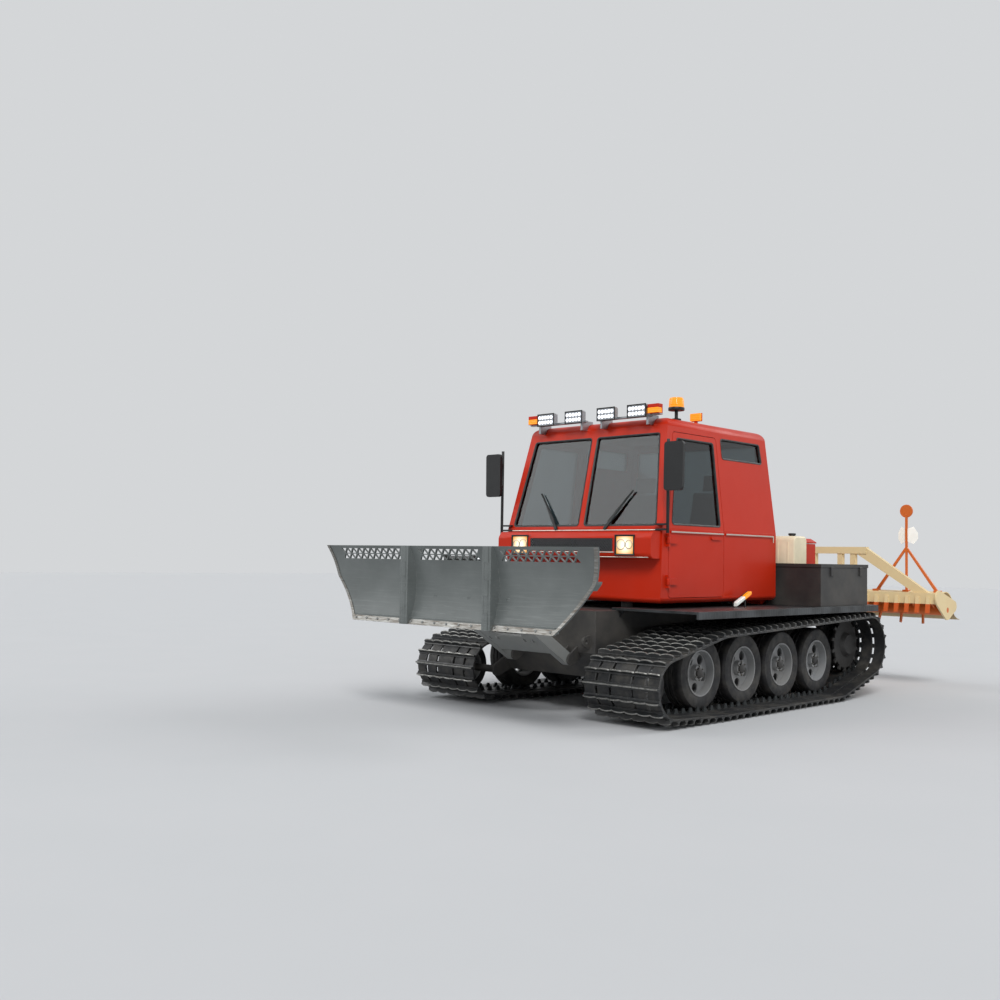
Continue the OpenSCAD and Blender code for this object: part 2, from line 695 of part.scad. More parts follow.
module grille() {
    color("black") machine() {
        block([-grille_half_w + seat, grille_half_w - seat],
            [panel_y + grille_depth - 16, panel_y + grille_depth - seat],
            [lamp_z - 58 + seat, lamp_z + 62 - seat]);
        for (k = [0:5]) block([-grille_half_w + seat, grille_half_w - seat],
            [panel_y + 8, panel_y + grille_depth - 15],
            [lamp_z - 50 + 19 * k, lamp_z - 42 + 19 * k]);
        for (x = [-grille_half_w + seat, -10, grille_half_w - 20 - seat]) block([x, x + 20],
            [panel_y + 8, panel_y + grille_depth - 15], [lamp_z - 54, lamp_z + 58]);
    }
}
module headlamps() {
    color("lightyellow") machine() both() {
        block([lamp_x - lamp_half_w + seat, lamp_x + lamp_half_w - seat],
            [panel_y + 20, panel_y + 90 - seat],
            [lamp_z - lamp_half_h + seat, lamp_z + lamp_half_h - seat]);
        block([lamp_x - lamp_half_w + 12, lamp_x + lamp_half_w - 12], [panel_y + 2, panel_y + 21],
            [lamp_z - lamp_half_h + 12, lamp_z + lamp_half_h - 12]);
    }
}

// Roof lamps, beacon, wipers and mirrors
roof_lamp_x = [200, 560];
module roof_lamps() {
    color("silver") machine() both() {
        block([80, 700], [150, 190], [roof_z + 6, roof_z + 26]);
        for (x = [110, 650]) difference() {
            block([x, x + 24], [140, 300], [roof_z - 70, roof_z + 26]);
            cab_solid(-seat);
        }
        for (x = roof_lamp_x) {
            along_y(110, 150) translate([x - 105, roof_z]) square([210, 120]);
            for (k = [0:6]) block([x - 96 + 30 * k, x - 90 + 30 * k], [149, 180],
                [roof_z + 25, roof_z + 114]);
        }
    }
}
beacon_at = [roof_half_w - 110, 500];
beacon_z = roof_z + 90; // top of the beacon's post
module beacon() {
    color("orange") machine() {
        zcyl(beacon_at, 45, roof_z + seat, roof_z + 14);
        zcyl(beacon_at, 16, roof_z + 13, beacon_z);
        zcyl(beacon_at, 62, beacon_z - 1, beacon_z + 28);
        translate([beacon_at[0], beacon_at[1], beacon_z + 28]) cylinder(r1 = 58, r2 = 50, h = 96);
        for (x = [-roof_half_w + 150, roof_half_w - 150]) {
            block([x - 60, x + 60], [860, 900], [roof_z + 30, roof_z + 110]);
            block([x - 12, x + 12], [866, 894], [roof_z + seat, roof_z + 31]);
        }
    }
}
wiper_foot = [300, sill_z + 6];
wiper_tip = [560, sill_z + 350];
module wipers() {
    color("black") machine() intersection() {
        both() along_y(-60, 400) {
            belt2d([[wiper_foot[0], wiper_foot[1], 15], [wiper_tip[0] - 60, wiper_tip[1] - 70, 5]]);
            belt2d([[wiper_foot[0] + 30, wiper_foot[1] + 70, 5], [wiper_tip[0], wiper_tip[1], 5]]);
        }
        cab_skin(-16, -seat);
    }
}
mirror_x = cab_half_w + 70;
mirror_low_z = sill_z + 330;
mirror_top_z = sill_z + 760;
module mirrors() {
    color("black") machine() both() {
        zcyl([mirror_x, -20], 14, sill_z - 40, mirror_top_z + 30);
        for (z = [sill_z - 16, sill_z + 30]) difference() {
            block([cab_half_w - 60, mirror_x], [-30, 20], [z, z + 16]);
            cab_solid(-seat);
            block([cab_half_w + 20, mirror_x + 20], [-10, 30], [z - over, z + 20]);
        }
        along_y(-70, -40) belt2d([[mirror_x + 20, mirror_low_z + 34, 34],
            [mirror_x + 150, mirror_low_z + 34, 34],
            [mirror_x + 160, mirror_top_z - 30, 30], [mirror_x + 20, mirror_top_z - 30, 30]]);
        for (z = [mirror_low_z + 90, mirror_top_z - 120])
            block([mirror_x - 12, mirror_x + 30], [-41, -14], [z, z + 26]);
    }
}

// Inside the cab
floor_in_z = cab_floor_z + wall + tuck;
seat_x = [-430, 430];
seat_half_w = 200;
pad_z = floor_in_z + 330; // top of a seat's base
// Columns: y, z, corner radius
cushion = [[940, pad_z + 50 + seat, 50], [1420, pad_z + 50 + seat, 50]];
backrest = [[1440, pad_z + 170, 50], [1560, pad_z + 670, 45]];
back_angle = atan2(backrest[1][1] - backrest[0][1], backrest[1][0] - backrest[0][0]);
head_low = [backrest[1][0], backrest[1][1]] + (45 + 35 + seat) * [cos(back_angle), sin(back_angle)];
headrest = [[head_low[0], head_low[1], 35], [head_low[0] + 18, head_low[1] + 100, 35]];
shell_t = 22;
module seat_frames() {
    color("dimgray") machine() for (x = seat_x) {
        block([x - seat_half_w, x + seat_half_w], [cushion[0][0] + 40, cushion[1][0] + 60],
            [floor_in_z, pad_z]);
        along_x(x - seat_half_w - 10, x + seat_half_w + 10) difference() {
            belt2d([[1440, pad_z + 20, 50], backrest[1]], shell_t);
            belt2d(backrest, seat);
            belt2d(cushion, seat);
            translate([backrest[0][0], backrest[0][1]]) rotate(back_angle) translate([-400, 0])
                square([1100, 300]);
            translate([backrest[1][0], backrest[1][1]]) rotate(back_angle) translate([0, -200])
                square([300, 500]);
            translate([600, pad_z - 200]) square([1200, 170]);
        }
    }
}
module seat_pads() {
    color("darkslategray") machine() for (x = seat_x) {
        along_x(x - seat_half_w - 40, x + seat_half_w + 40) belt2d(cushion);
        along_x(x - seat_half_w - 30, x + seat_half_w + 30) belt2d(backrest);
        along_x(x - 130, x + 130) belt2d(headrest);
    }
}
dash_half_w = cab_half_w - 184;
dash_h = 600;
dash_top_z = floor_in_z + dash_h;
dash_y = [90, 430]; // its front at the nose and its face at the driver
tunnel_h = 420; // the console between the seats
tunnel_half_w = 170;
tunnel_end_y = 1300;
lever = [90, 700, 560]; // across, along, height above the floor
module console() {
    color("black") machine() {
        along_x(-dash_half_w, dash_half_w) polygon([[dash_y[0], dash_top_z - dash_h / 2],
            [dash_y[1] - 10, dash_top_z - 80], [dash_y[1], dash_top_z], [dash_y[0], dash_top_z]]);
        block([-tunnel_half_w, tunnel_half_w], [dash_y[1], tunnel_end_y],
            [floor_in_z, floor_in_z + tunnel_h]);
        block([-60, 60], [200, dash_y[1] + 10], [floor_in_z, floor_in_z + tunnel_h - 20]);
        for (x = [-lever[0], lever[0]]) {
            zcyl([x, lever[1]], 14, floor_in_z + tunnel_h - over, floor_in_z + lever[2]);
            translate([x, lever[1], floor_in_z + lever[2] + 15]) sphere(r = 28);
        }
    }
}

// Rear body
module engine_block() {
    color("slategray") machine() {
        block([-400, 400], [well_y0 + 40, well_y1 - 100], [well_z, bay_top_z - 160]);
    }
}
module engine_bay() {
    color("orangered") machine() difference() {
        block([-bay_half_w, bay_half_w], [bay_y0, bay_y1], [deck_z, bay_top_z]);
        block([-bay_half_w + bay_wall, bay_half_w - bay_wall], [bay_y0 + bay_wall, bay_y1 - bay_wall],
            [deck_z - over, bay_top_z + over]);
        for (k = [0:8]) block([-bay_half_w - over, bay_half_w + over],
            [bay_y0 + 160 + 90 * k, bay_y0 + 210 + 90 * k], [deck_z + 260, deck_z + 540]);
        block([-420, 420], [bay_y1 - 60, bay_y1 + over], [deck_z + 120, deck_z + 500]);
    }
    color("orangered") machine() for (x = hood_hinge_x) {
        for (side = [-1, 1]) along_x(x + side * 33 - 7, x + side * 33 + 7) belt2d([
            [hood_hinge[0], hood_hinge[1], hood_eye_r], [bay_y0 - 6, bay_top_z - 40, hood_eye_r]]);
        xcyl(hood_hinge, hood_pin_r, x - 34, x + 34);
    }
}
module hood() {
    color("orangered") machine() {
        difference() {
            along_y(bay_y0 + 4, bay_y1 + 10) polygon([[-bay_half_w - 8, hood_z], [bay_half_w + 8, hood_z],
                [bay_half_w + 8, hood_z + 14], [bay_half_w - 60, hood_z + bay_wall + 22],
                [-bay_half_w + 60, hood_z + bay_wall + 22], [-bay_half_w - 8, hood_z + 14]]);
            along_y(bay_y0 + 30, bay_y1 - 20)
                polygon([[-bay_half_w + 20, hood_z - over], [bay_half_w - 20, hood_z - over],
                [bay_half_w - 70, hood_z + bay_wall], [-bay_half_w + 70, hood_z + bay_wall]]);
        }
        for (x = hood_hinge_x) difference() {
            union() {
                xcyl(hood_hinge, hood_eye_r, x - 20, x + 20);
                block([x - 20, x + 20], [hood_hinge[0], bay_y0 + 6],
                    [hood_hinge[1] - 5, hood_hinge[1] + 5]);
            }
            xcyl(hood_hinge, hood_pin_r + run_fit, x - 21, x + 21);
        }
    }
}
silencer = [-bay_half_w - 110, bay_y0 + 90];
silencer_r = 90;
pipe_r = 48;
silencer_z = [deck_z + 40, deck_z + 560];
module exhaust() {
    color("gray") machine() {
        zcyl(silencer, 60, deck_z, silencer_z[0] + over);
        zcyl(silencer, silencer_r, silencer_z[0], silencer_z[1]);
        for (z = [silencer_z[0] + 90, silencer_z[1] - 110]) zcyl(silencer, silencer_r + 5, z, z + 24);
        translate([silencer[0], silencer[1], silencer_z[1]]) cylinder(r1 = silencer_r, r2 = pipe_r, h = 60);
        difference() {
            zcyl(silencer, pipe_r, silencer_z[1] + 59, 2380);
            zcyl(silencer, pipe_r - 5, silencer_z[1] + 70, 2381);
            along_x(silencer[0] - 60, silencer[0] + 60)
                polygon([[silencer[1] - 60, 2382], [silencer[1] + 60, 2382], [silencer[1] + 60, 2300]]);
        }
    }
}
box_h = 420;
// Stowage boxes on the decks, each with an overhanging lid, two straps and a latch
module stowage(x0, x1, y0, y1) {
    block([x0, x1], [y0, y1], [deck_z, deck_z + box_h - 34]);
    block([x0 - 8, x1 + 8], [y0 - 8, y1 + 8], [deck_z + box_h - 35, deck_z + box_h]);
}
module side_boxes() {
    color("dimgray") machine() {
        stowage(bay_half_w + 40, track_out - 60, bay_y0 + 30, bay_y1 - 100);
        stowage(-track_out + 60, -bay_half_w - 40, bay_y0 + 220, bay_y1 - 100);
        for (y = [bay_y0 + 220, bay_y1 - 290]) block([track_out - 61, track_out - 46], [y, y + 60],
            [deck_z + box_h - 120, deck_z + box_h - 30]);
    }
}
module rear_lamps() {
    color("red") machine() both() {
        block([bay_half_w - 190, bay_half_w - 40], [bay_y1, bay_y1 + 40],
            [bay_top_z - 200, bay_top_z - 120]);
    }
}

// Front linkage: drawn level from its pin and then raised
module raised(pin, angle) { translate([0, pin[0], pin[1]]) rotate([angle, 0, 0]) children(); }
module lift_arms() {
    color("lightgray") machine() {
        raised(arm_pin, -arm_up) {
            for (x = [-arm_x, arm_x]) difference() {
                union() {
                    block([x - arm_w / 2, x + arm_w / 2], [-arm_len, 0], [-arm_d / 2, arm_d / 2]);
                    for (y = [-arm_len, 0]) xcyl([y, 0], arm_d / 2, x - arm_w / 2, x + arm_w / 2);
                }
                xcyl([0, 0], pin_r + run_fit, x - arm_w, x + arm_w);
            }
            difference() {
                block([-arm_x + arm_w / 2 - over, arm_x - arm_w / 2 + over], [-660, -180], [-48, -24]);
                along_z(-60, -10) belt2d([[-150, -500, 45], [150, -500, 45]]);
            }
            for (side = [-1, 1]) for (x = [-(eye_w / 2 + clear + 10), eye_w / 2 + clear + 10])
                along_x(side * lift_x + x - 10, side * lift_x + x + 10)
                    belt2d([[-lift_reach, -20, 40], [-lift_reach, lift_off, lift_eye_r]]);
        }
        for (x = [-arm_x, arm_x]) xcyl(arm_end, pin_r,
            min(x, 0) < 0 ? x : x - 90, min(x, 0) < 0 ? x + 90 : x);
    }
}
module top_link() {
    color("lightgray") machine() raised(link_pin, -arm_up) difference() {
        union() {
            block([-30, 30], [-arm_len, 0], [-30, 30]);
            for (y = [-arm_len, 0]) xcyl([y, 0], 44, -40, 40);
        }
        xcyl([0, 0], lift_pin_r + run_fit, -50, 50);
        xcyl([-arm_len, 0], lift_pin_r + 0.5, -50, 50);
    }
}
carrier_x = arm_x - arm_w / 2 - clear - 15; // middle of a carrier side plate
module carrier() {
    color("gray") machine() difference() {
        union() {
            both() along_x(carrier_x - 15, carrier_x + 15) belt2d([[arm_end[0], arm_end[1], 56],
                [link_end[0], link_end[1], 50]]);
            both() along_x(carrier_x - 15, carrier_x + 15)
                translate([arm_end[0] - 75, arm_end[1] - 40]) square([60, link_rise + 80]);
            block([-carrier_x - 15, carrier_x + 15], [arm_end[0] - 95, arm_end[0] - 70],
                [arm_end[1] - 50, link_end[1] + 30]);
            lugs_x(0, link_end, 44, 80 + 2 * clear, 20, [link_end[0] - 72, link_end[1]]);
            xcyl(link_end, lift_pin_r, -60, 60);
            for (z = [arm_end[1] - 40, link_end[1] - 10]) along_z(z, z + 50) {
                translate([0, king_y]) circle(r = 60);
                translate([-60, king_y]) square([120, 75]);
            }
            zcyl([0, king_y], king_r, arm_end[1] - 40, king_top);
            block([-carrier_x - 15, -carrier_x + 15], [arm_end[0] - 95, arm_end[0] + 20],
                [link_end[1] + 20, lever_z]);
            block([swivel_base[0] - 45, -carrier_x + 15], [arm_end[0] - 95, arm_end[0] + 20],
                [lever_z, lever_z + lever_t]);
            zcyl(swivel_base, small_pin_r, lever_z, swivel_z + 45);
        }
        both() xcyl(arm_end, pin_r + run_fit, carrier_x - 40, carrier_x + 40);
    }
}
module swivel_frame() {
    color("gray") machine() difference() {
        union() {
            zcyl([0, king_y], king_r + 20, arm_end[1] + 10 + clear, link_end[1] - 10 - clear);
            block([-90, 90], [king_y - 80, king_y - 40], [tilt_z - 130, tilt_z + 130]);
            ycyl([0, tilt_z], 130, king_y - 80, king_y - 55);
            ycyl([0, tilt_z], tilt_r, hub_y[0] + 10, king_y - 79);
            along_y(king_y - 80, king_y - 60)
                belt2d([[0, tilt_z + 60, 60], [tilt_base[0], tilt_base[1], 40]]);
            ycyl(tilt_base, small_pin_r, tilt_y - 45, king_y - 79);
            block([-45, 45], [king_y - 80, king_y - 60], [tilt_z, lever_z + lever_t]);
            along_z(lever_z, lever_z + lever_t)
                belt2d([[0, king_y - 40, 40], [swivel_eye[0], swivel_eye[1], 30]]);
        }
        zcyl([0, king_y], king_r + run_fit, arm_end[1], link_end[1] + 30);
    }
}

// Blade
mould_mid_z = (blade_top_z + blade_low_z) / 2;
module mould_section(from, to, top = blade_top_z) {
    intersection() {
        difference() {
            translate([mould_y - mould_r, mould_mid_z]) circle(r = mould_r + to);
            translate([mould_y - mould_r, mould_mid_z]) circle(r = mould_r + from);
        }
        translate([mould_y - 200, blade_low_z]) square([400, top - blade_low_z]);
    }
}
// Columns: middle x, half-width of each perforated window
windows = [[0, 378], [1010, 420]];
cell_w = 84; // base of a triangular hole's cell
cell_h = 50;
web = 9; // metal left between two holes
window_top_z = blade_top_z - 22;
mesh_low_z = window_top_z - 2 * cell_h;
cell_angle = atan(cell_h / (cell_w / 2));
cell_side = web / 2 / tan(cell_angle / 2);
cell_tip = web / 2 / cos(cell_angle);
// Two rows of triangular holes that stand and hang by turns
module mesh_cells(mid, half) {
    for (row = [0, 1]) for (k = [0:floor(4 * half / cell_w) - 2])
        translate([mid - half + k * cell_w / 2, mesh_low_z + row * cell_h])
            polygon((k + row) % 2 == 0 ? [[cell_side, web / 2], [cell_w - cell_side, web / 2],
                [cell_w / 2, cell_h - cell_tip]]
                : [[cell_side, cell_h - web / 2], [cell_w / 2, cell_tip],
                    [cell_w - cell_side, cell_h - web / 2]]);
}
sleeve_n = 5;
sleeve_h = (blade_top_z - blade_low_z) / sleeve_n;
sleeve_gap = 3;
hinge_gap = 26; // from the hinge axis to the cheek beside it
cheek_t = 22;
cheek_open = 72; // half-height of the opening that a wing's cylinder passes
// Upright sleeves of the wing hinge; the even ones belong to the centre section
module sleeves(first, x0, x1) {
    for (k = [first:2:sleeve_n - 1]) let (z = blade_low_z + k * sleeve_h,
        low = z + (k > 0 ? sleeve_gap / 2 : 0),
        high = z + sleeve_h - (k < sleeve_n - 1 ? sleeve_gap / 2 : 0)) {
        zcyl([centre_half_w, wing_y], wing_knuckle_r, low, high);
        block([x0, x1], [wing_y - 8, wing_y + 14], [low, high]);
    }
}
// Upright plate beside the wing hinge, open where the wing's cylinder passes
module cheek(x) {
    difference() {
        block([x, x + cheek_t], [wing_y - 8, mould_y + 60], [blade_low_z, blade_top_z]);
        block([x - over, x + cheek_t + over], [mould_y, mould_y + 61],
            [wing_cyl_z - cheek_open, wing_cyl_z + cheek_open]);
    }
}
module wing_cyl_lugs(at) {
    for (z = [wing_cyl_z - eye_w / 2 - clear - 20, wing_cyl_z + eye_w / 2 + clear])
        along_z(z, z + 20) belt2d([[at[0], at[1], 30], [at[0], mould_y + 40, 50]]);
}
module blade_centre() {
    color("slategray") machine() {
        difference() {
            union() {
                along_x(-centre_half_w + hinge_gap + 2, centre_half_w - hinge_gap - 2)
                    mould_section(0, mould_t);
                block([-centre_half_w + 40, centre_half_w - 40], [mould_y + 6, mould_y + 76],
                    [tilt_z - 38, tilt_z + 82]);
                for (x = [110, 300]) both() along_x(x - 10, x + 10) mould_section(0, 70, mesh_low_z - 10);
                block([-centre_half_w + 40, centre_half_w - 40], [mould_y - 70, mould_y - 20],
                    [blade_low_z + 12, blade_low_z + 62]);
                both() cheek(centre_half_w - hinge_gap - cheek_t);
                ycyl([0, tilt_z], tilt_r + 30, hub_y[0], hub_y[1]);
                along_y(tilt_y - 60, tilt_y - 40)
                    belt2d([[tilt_eye[0], tilt_eye[1], 30], [tilt_eye[0], tilt_z + 20, 60]]);
            }
            ycyl([0, tilt_z], tilt_r + run_fit, hub_y[0] + 4, king_y);
            along_y(mould_y - 200, mould_y + 90) mesh_cells(windows[0][0], windows[0][1]);
        }
        both() sleeves(0, centre_half_w - hinge_gap - 2, centre_half_w);
        both() zcyl([centre_half_w, wing_y], wing_pin_r, blade_low_z + over, blade_top_z - over);
        both() wing_cyl_lugs(wing_base);
        both() zcyl(wing_base, small_pin_r, wing_cyl_z - eye_w / 2 - 26, wing_cyl_z + eye_w / 2 + 26);
    }
}
wing_ribs = [blade_low_half_w - 460, blade_low_half_w - 250, blade_low_half_w - 40];
module wing() {
    slant = blade_top_half_w - blade_low_half_w;
    difference() {
        intersection() {
            union() {
                along_x(centre_half_w + hinge_gap + 2, blade_top_half_w) mould_section(0, mould_t);
                for (x = wing_ribs) along_x(x - 10, x + 10) mould_section(0, 60, mesh_low_z - 10);
                block([centre_half_w + hinge_gap + 2, blade_top_half_w], [mould_y + 6, mould_y + 60],
                    [tilt_z + 60, tilt_z + 130]);
                block([centre_half_w + hinge_gap + 2, blade_low_half_w], [mould_y - 70, mould_y - 20],
                    [blade_low_z + 12, blade_low_z + 62]);
                cheek(centre_half_w + hinge_gap);
            }
            along_y(mould_y - 560, mould_y + 240)
                polygon([[centre_half_w, blade_low_z - 5], [blade_low_half_w, blade_low_z - 5],
                [blade_low_half_w + 0.82 * slant, mould_mid_z + 60], [blade_top_half_w, blade_top_z + 5],
                [centre_half_w, blade_top_z + 5]]);
        }
        along_y(mould_y - 200, mould_y + 90) mesh_cells(windows[1][0], windows[1][1]);
    }
    difference() {
        sleeves(1, centre_half_w, centre_half_w + hinge_gap + 2);
        zcyl([centre_half_w, wing_y], wing_pin_r + run_fit, blade_low_z, blade_top_z);
    }
    wing_cyl_lugs(wing_eye);
}
module wing_left() { color("slategray") machine() wing(); }
module wing_right() { color("slategray") machine() mirror([1, 0, 0]) wing(); }

// Cylinders
module lift_barrels() {
    color("silver") machine() for (x = [-lift_x, lift_x]) aim_yz(x, lift_base, lift_eye)
        barrel(lift_shut, lift_r, lift_rod_r, lift_eye_r, lift_pin_r);
}
module lift_rods() {
    color("white") machine() for (x = [-lift_x, lift_x]) aim_yz(x, lift_base, lift_eye)
        rod(lift_shut, lift_shut, lift_rod_r, lift_eye_r, lift_pin_r);
}
module swivel_barrel() {
    color("silver") machine() aim_xy(swivel_z, swivel_base, swivel_eye)
        barrel(swivel_shut, small_r, small_rod_r, small_eye_r, small_pin_r);
}
module swivel_rod() {
    color("white") machine() aim_xy(swivel_z, swivel_base, swivel_eye)
        rod(swivel_shut, span(swivel_base, swivel_eye), small_rod_r, small_eye_r, small_pin_r);
}
module tilt_barrel() {
    color("silver") machine() aim_xz(tilt_y, tilt_base, tilt_eye)
        barrel(tilt_shut, small_r, small_rod_r, small_eye_r, small_pin_r);
}
module tilt_rod() {
    color("white") machine() aim_xz(tilt_y, tilt_base, tilt_eye)
        rod(tilt_shut, span(tilt_base, tilt_eye), small_rod_r, small_eye_r, small_pin_r);
}
module wing_barrel() {
    color("silver") aim_xy(wing_cyl_z, wing_base, wing_eye)
        barrel(wing_shut, small_r, small_rod_r, small_eye_r, small_pin_r);
}
module wing_rod() {
    color("white") aim_xy(wing_cyl_z, wing_base, wing_eye)
        rod(wing_shut, wing_shut, small_rod_r, small_eye_r, small_pin_r);
}
module wing_barrel_left() { machine() wing_barrel(); }
module wing_barrel_right() { machine() mirror([1, 0, 0]) wing_barrel(); }
module wing_rod_left() { machine() wing_rod(); }
module wing_rod_right() { machine() mirror([1, 0, 0]) wing_rod(); }

// Rear linkage
module rear_arms() {
    color("orangered") machine() {
        raised(rear_pin, rear_up) {
            for (x = [-rear_x, rear_x]) difference() {
                union() {
                    block([x - arm_w / 2, x + arm_w / 2], [0, rear_len], [-arm_d / 2, arm_d / 2]);
                    for (y = [0, rear_len]) xcyl([y, 0], arm_d / 2, x - arm_w / 2, x + arm_w / 2);
                }
                xcyl([0, 0], pin_r + run_fit, x - arm_w, x + arm_w);
            }
            block([-rear_x + arm_w / 2 - over, rear_x - arm_w / 2 + over],
                [rear_reach - 110, rear_reach + 110], [-48, -24]);
            for (side = [-1, 1]) for (x = [-(eye_w / 2 + clear + 10), eye_w / 2 + clear + 10])
                along_x(side * lift_x + x - 10, side * lift_x + x + 10)
                    belt2d([[rear_reach, -20, 40], [rear_reach, lift_off, lift_eye_r]]);
        }
        for (x = [-rear_x, rear_x]) xcyl(rear_end, pin_r,
            min(x, 0) < 0 ? x : x - 90, min(x, 0) < 0 ? x + 90 : x);
    }
}
module rear_link() {
    color("orangered") machine() raised(rear_link_pin, rear_up) difference() {
        union() {
            block([-30, 30], [0, rear_len], [-30, 30]);
            for (y = [0, rear_len]) xcyl([y, 0], 44, -40, 40);
        }
        xcyl([0, 0], lift_pin_r + run_fit, -50, 50);
        xcyl([rear_len, 0], lift_pin_r + 0.5, -50, 50);
    }
}
module rear_carrier() {
    color("orangered") machine() difference() {
        union() {
            both() along_x(carrier_x - 15, carrier_x + 15) {
                belt2d([[rear_end[0], rear_end[1], 56], [rear_link_end[0], rear_link_end[1], 50]]);
                belt2d([[rear_end[0], rear_end[1], 56], [tiller_pin[0], tiller_pin[1], 50]]);
            }
            block([-carrier_x + 14, carrier_x - 14], [rear_end[0] + 52, rear_end[0] + 76],
                [rear_end[1] + 120, rear_link_end[1] + 40]);
            lugs_x(0, rear_link_end, 44, 80 + 2 * clear, 20, [rear_link_end[0] + 60, rear_link_end[1]]);
            xcyl(rear_link_end, lift_pin_r, -60, 60);
            both() xcyl(tiller_pin, pin_r, carrier_x - 15, carrier_x + 90);
        }
        both() xcyl(rear_end, pin_r + run_fit, carrier_x - 40, carrier_x + 40);
    }
}
module rear_barrels() {
    color("silver") machine() for (x = [-lift_x, lift_x]) aim_yz(x, rear_base, rear_eye)
        barrel(rear_shut, lift_r, lift_rod_r, lift_eye_r, lift_pin_r);
}
module rear_rods() {
    color("white") machine() for (x = [-lift_x, lift_x]) aim_yz(x, rear_base, rear_eye)
        rod(rear_shut, rear_shut, lift_rod_r, lift_eye_r, lift_pin_r);
}

// Tiller
comb_count = 27;
comb_half_w = tiller_half_w - 80;
module tiller_frame() {
    lug_x = carrier_x + 15 + clear;
    color("orangered") machine() difference() {
        union() {
            block([-tiller_half_w, tiller_half_w], [beam_y - beam_s / 2, beam_y + beam_s / 2],
                [beam_z - beam_s / 2, beam_z + beam_s / 2]);
            block([-truss_half_w, truss_half_w], [beam_y - 40, beam_y + 40], [upper_z - 40, upper_z + 40]);
            both() along_y(beam_y - 32, beam_y + 32) {
                polygon([[truss_half_w - 20, upper_z + 40], [truss_half_w - 120, upper_z - 40],
                    [tiller_half_w - 160, beam_z], [tiller_half_w, beam_z]]);
                for (x = [120, 460, 620]) translate([x, beam_z]) square([60, upper_z - beam_z]);
            }
            both() along_x(lug_x, lug_x + 30)
                belt2d([[tiller_pin[0], tiller_pin[1], 40], [beam_y - 30, beam_z, 50]]);
            both() along_x(tiller_half_w, tiller_half_w + end_t) belt2d([[beam_y, beam_z, 90],
                [rotor_y, rotor_z, 110], [rotor_y + 190, rotor_z + 40, 60]]);
            along_x(-tiller_half_w, tiller_half_w) intersection() {
                difference() {
                    translate([rotor_y, rotor_z]) circle(r = tine_r + 40);
                    translate([rotor_y, rotor_z]) circle(r = tine_r + 30);
                }
                translate([rotor_y - 150, rotor_z + 30]) square([400, 300]);
            }
            block([-tiller_half_w, tiller_half_w], [flap_y - 26, flap_y + 14],
                [rotor_z + 10 + seat, rotor_z + 34]);
            for (k = [0:comb_count - 1]) let (x = -comb_half_w + 2 * k * comb_half_w / (comb_count - 1))
                along_x(x - 22, x + 22) translate([beam_y - beam_s / 2, beam_z])
                    polygon([[10, 20], [-14, 20], [-40, -160], [-26, -164], [10, -50]]);
        }
        both() xcyl(tiller_pin, pin_r + run_fit, lug_x - over, lug_x + 40);
        both() xcyl([rotor_y, rotor_z], 30 + run_fit, tiller_half_w - over, tiller_half_w + end_t + over);
    }
}
module tiller_rotor() {
    color("orange") machine() translate([0, rotor_y, rotor_z]) {
        rotate([0, 90, 0]) cylinder(r = rotor_r, h = 2 * tiller_half_w - 2 * clear, center = true);
        rotate([0, 90, 0]) cylinder(r = 30, h = 2 * tiller_half_w + 2 * end_t - 2, center = true);
        for (row = [0:2], k = [0:tine_count - 1]) let (step = (2 * tiller_half_w - 120) / (3 * tine_count))
            translate([-tiller_half_w + 60 + step * (3 * k + row + 0.5), 0, 0])
                rotate([120 * row + 15 * k, 0, 0])
                translate([-8, -20, rotor_r - 12]) cube([16, 40, tine_r - rotor_r + 12]);
    }
}
// Sighting frames that stand on the tiller's hood
marker_x = tiller_half_w - 440;
marker_y = rotor_y - 30;
marker_top_z = rotor_z + 1120;
marker_apex_z = rotor_z + 700;
marker_leg = 380; // from the post to a leg's foot
vane_low_z = marker_apex_z + 40;
vane_t = 5;
vane_turn = 24; // from square to the line of travel
module marker_frames() {
    color("darkorange") machine() both() difference() {
        union() {
            along_y(marker_y - 12, marker_y + 12) {
                translate([marker_x - 12, rotor_z + 180]) square([24, marker_top_z - rotor_z - 220]);
                for (side = [-1, 1]) polygon([[marker_x, marker_apex_z + 20],
                    [marker_x, marker_apex_z - 24],
                    [marker_x + side * (marker_leg - 40), rotor_z + 190],
                    [marker_x + side * marker_leg, rotor_z + 190]]);
            }
            for (x = [-marker_leg + 20, 0, marker_leg - 20]) along_x(marker_x + x - 34, marker_x + x + 34)
                translate([marker_y - 40, rotor_z + 180]) square([80, 36]);
            ycyl([marker_x, marker_top_z], 75, marker_y - 8, marker_y + 8);
        }
        xcyl([rotor_y, rotor_z], tine_r + 40 + seat, 0, tiller_half_w);
    }
}
module marker_vanes() {
    color("white") machine() both() for (side = [-1, 1])
        translate([marker_x + side * (12 + vane_t / 2 * sin(vane_turn) + seat), marker_y, 0])
            rotate([0, 0, side * vane_turn])
            along_y(-vane_t / 2, vane_t / 2)
                polygon([for (p = [[0, 30], [66, 0], [112, 60], [112, 130], [66, 200], [0, 176]])
                    [side * p[0], vane_low_z + p[1]]]);
}
flap_t = 8;
flap_y = rotor_y + 215;
flap_drop = 130;
flap_r = (pow(flap_end_y - flap_y, 2) + pow(flap_drop, 2)) / (2 * flap_drop);
module comb_flap() {
    color("wheat") machine() along_x(-tiller_half_w + 20, tiller_half_w - 20) intersection() {
        translate([flap_end_y, rotor_z + 10 - flap_drop + flap_r]) difference() {
            circle(r = flap_r);
            circle(r = flap_r - flap_t);
        }
        translate([flap_y, rotor_z + 10 - flap_drop - 10]) square([flap_end_y - flap_y, flap_drop + 10]);
    }
}

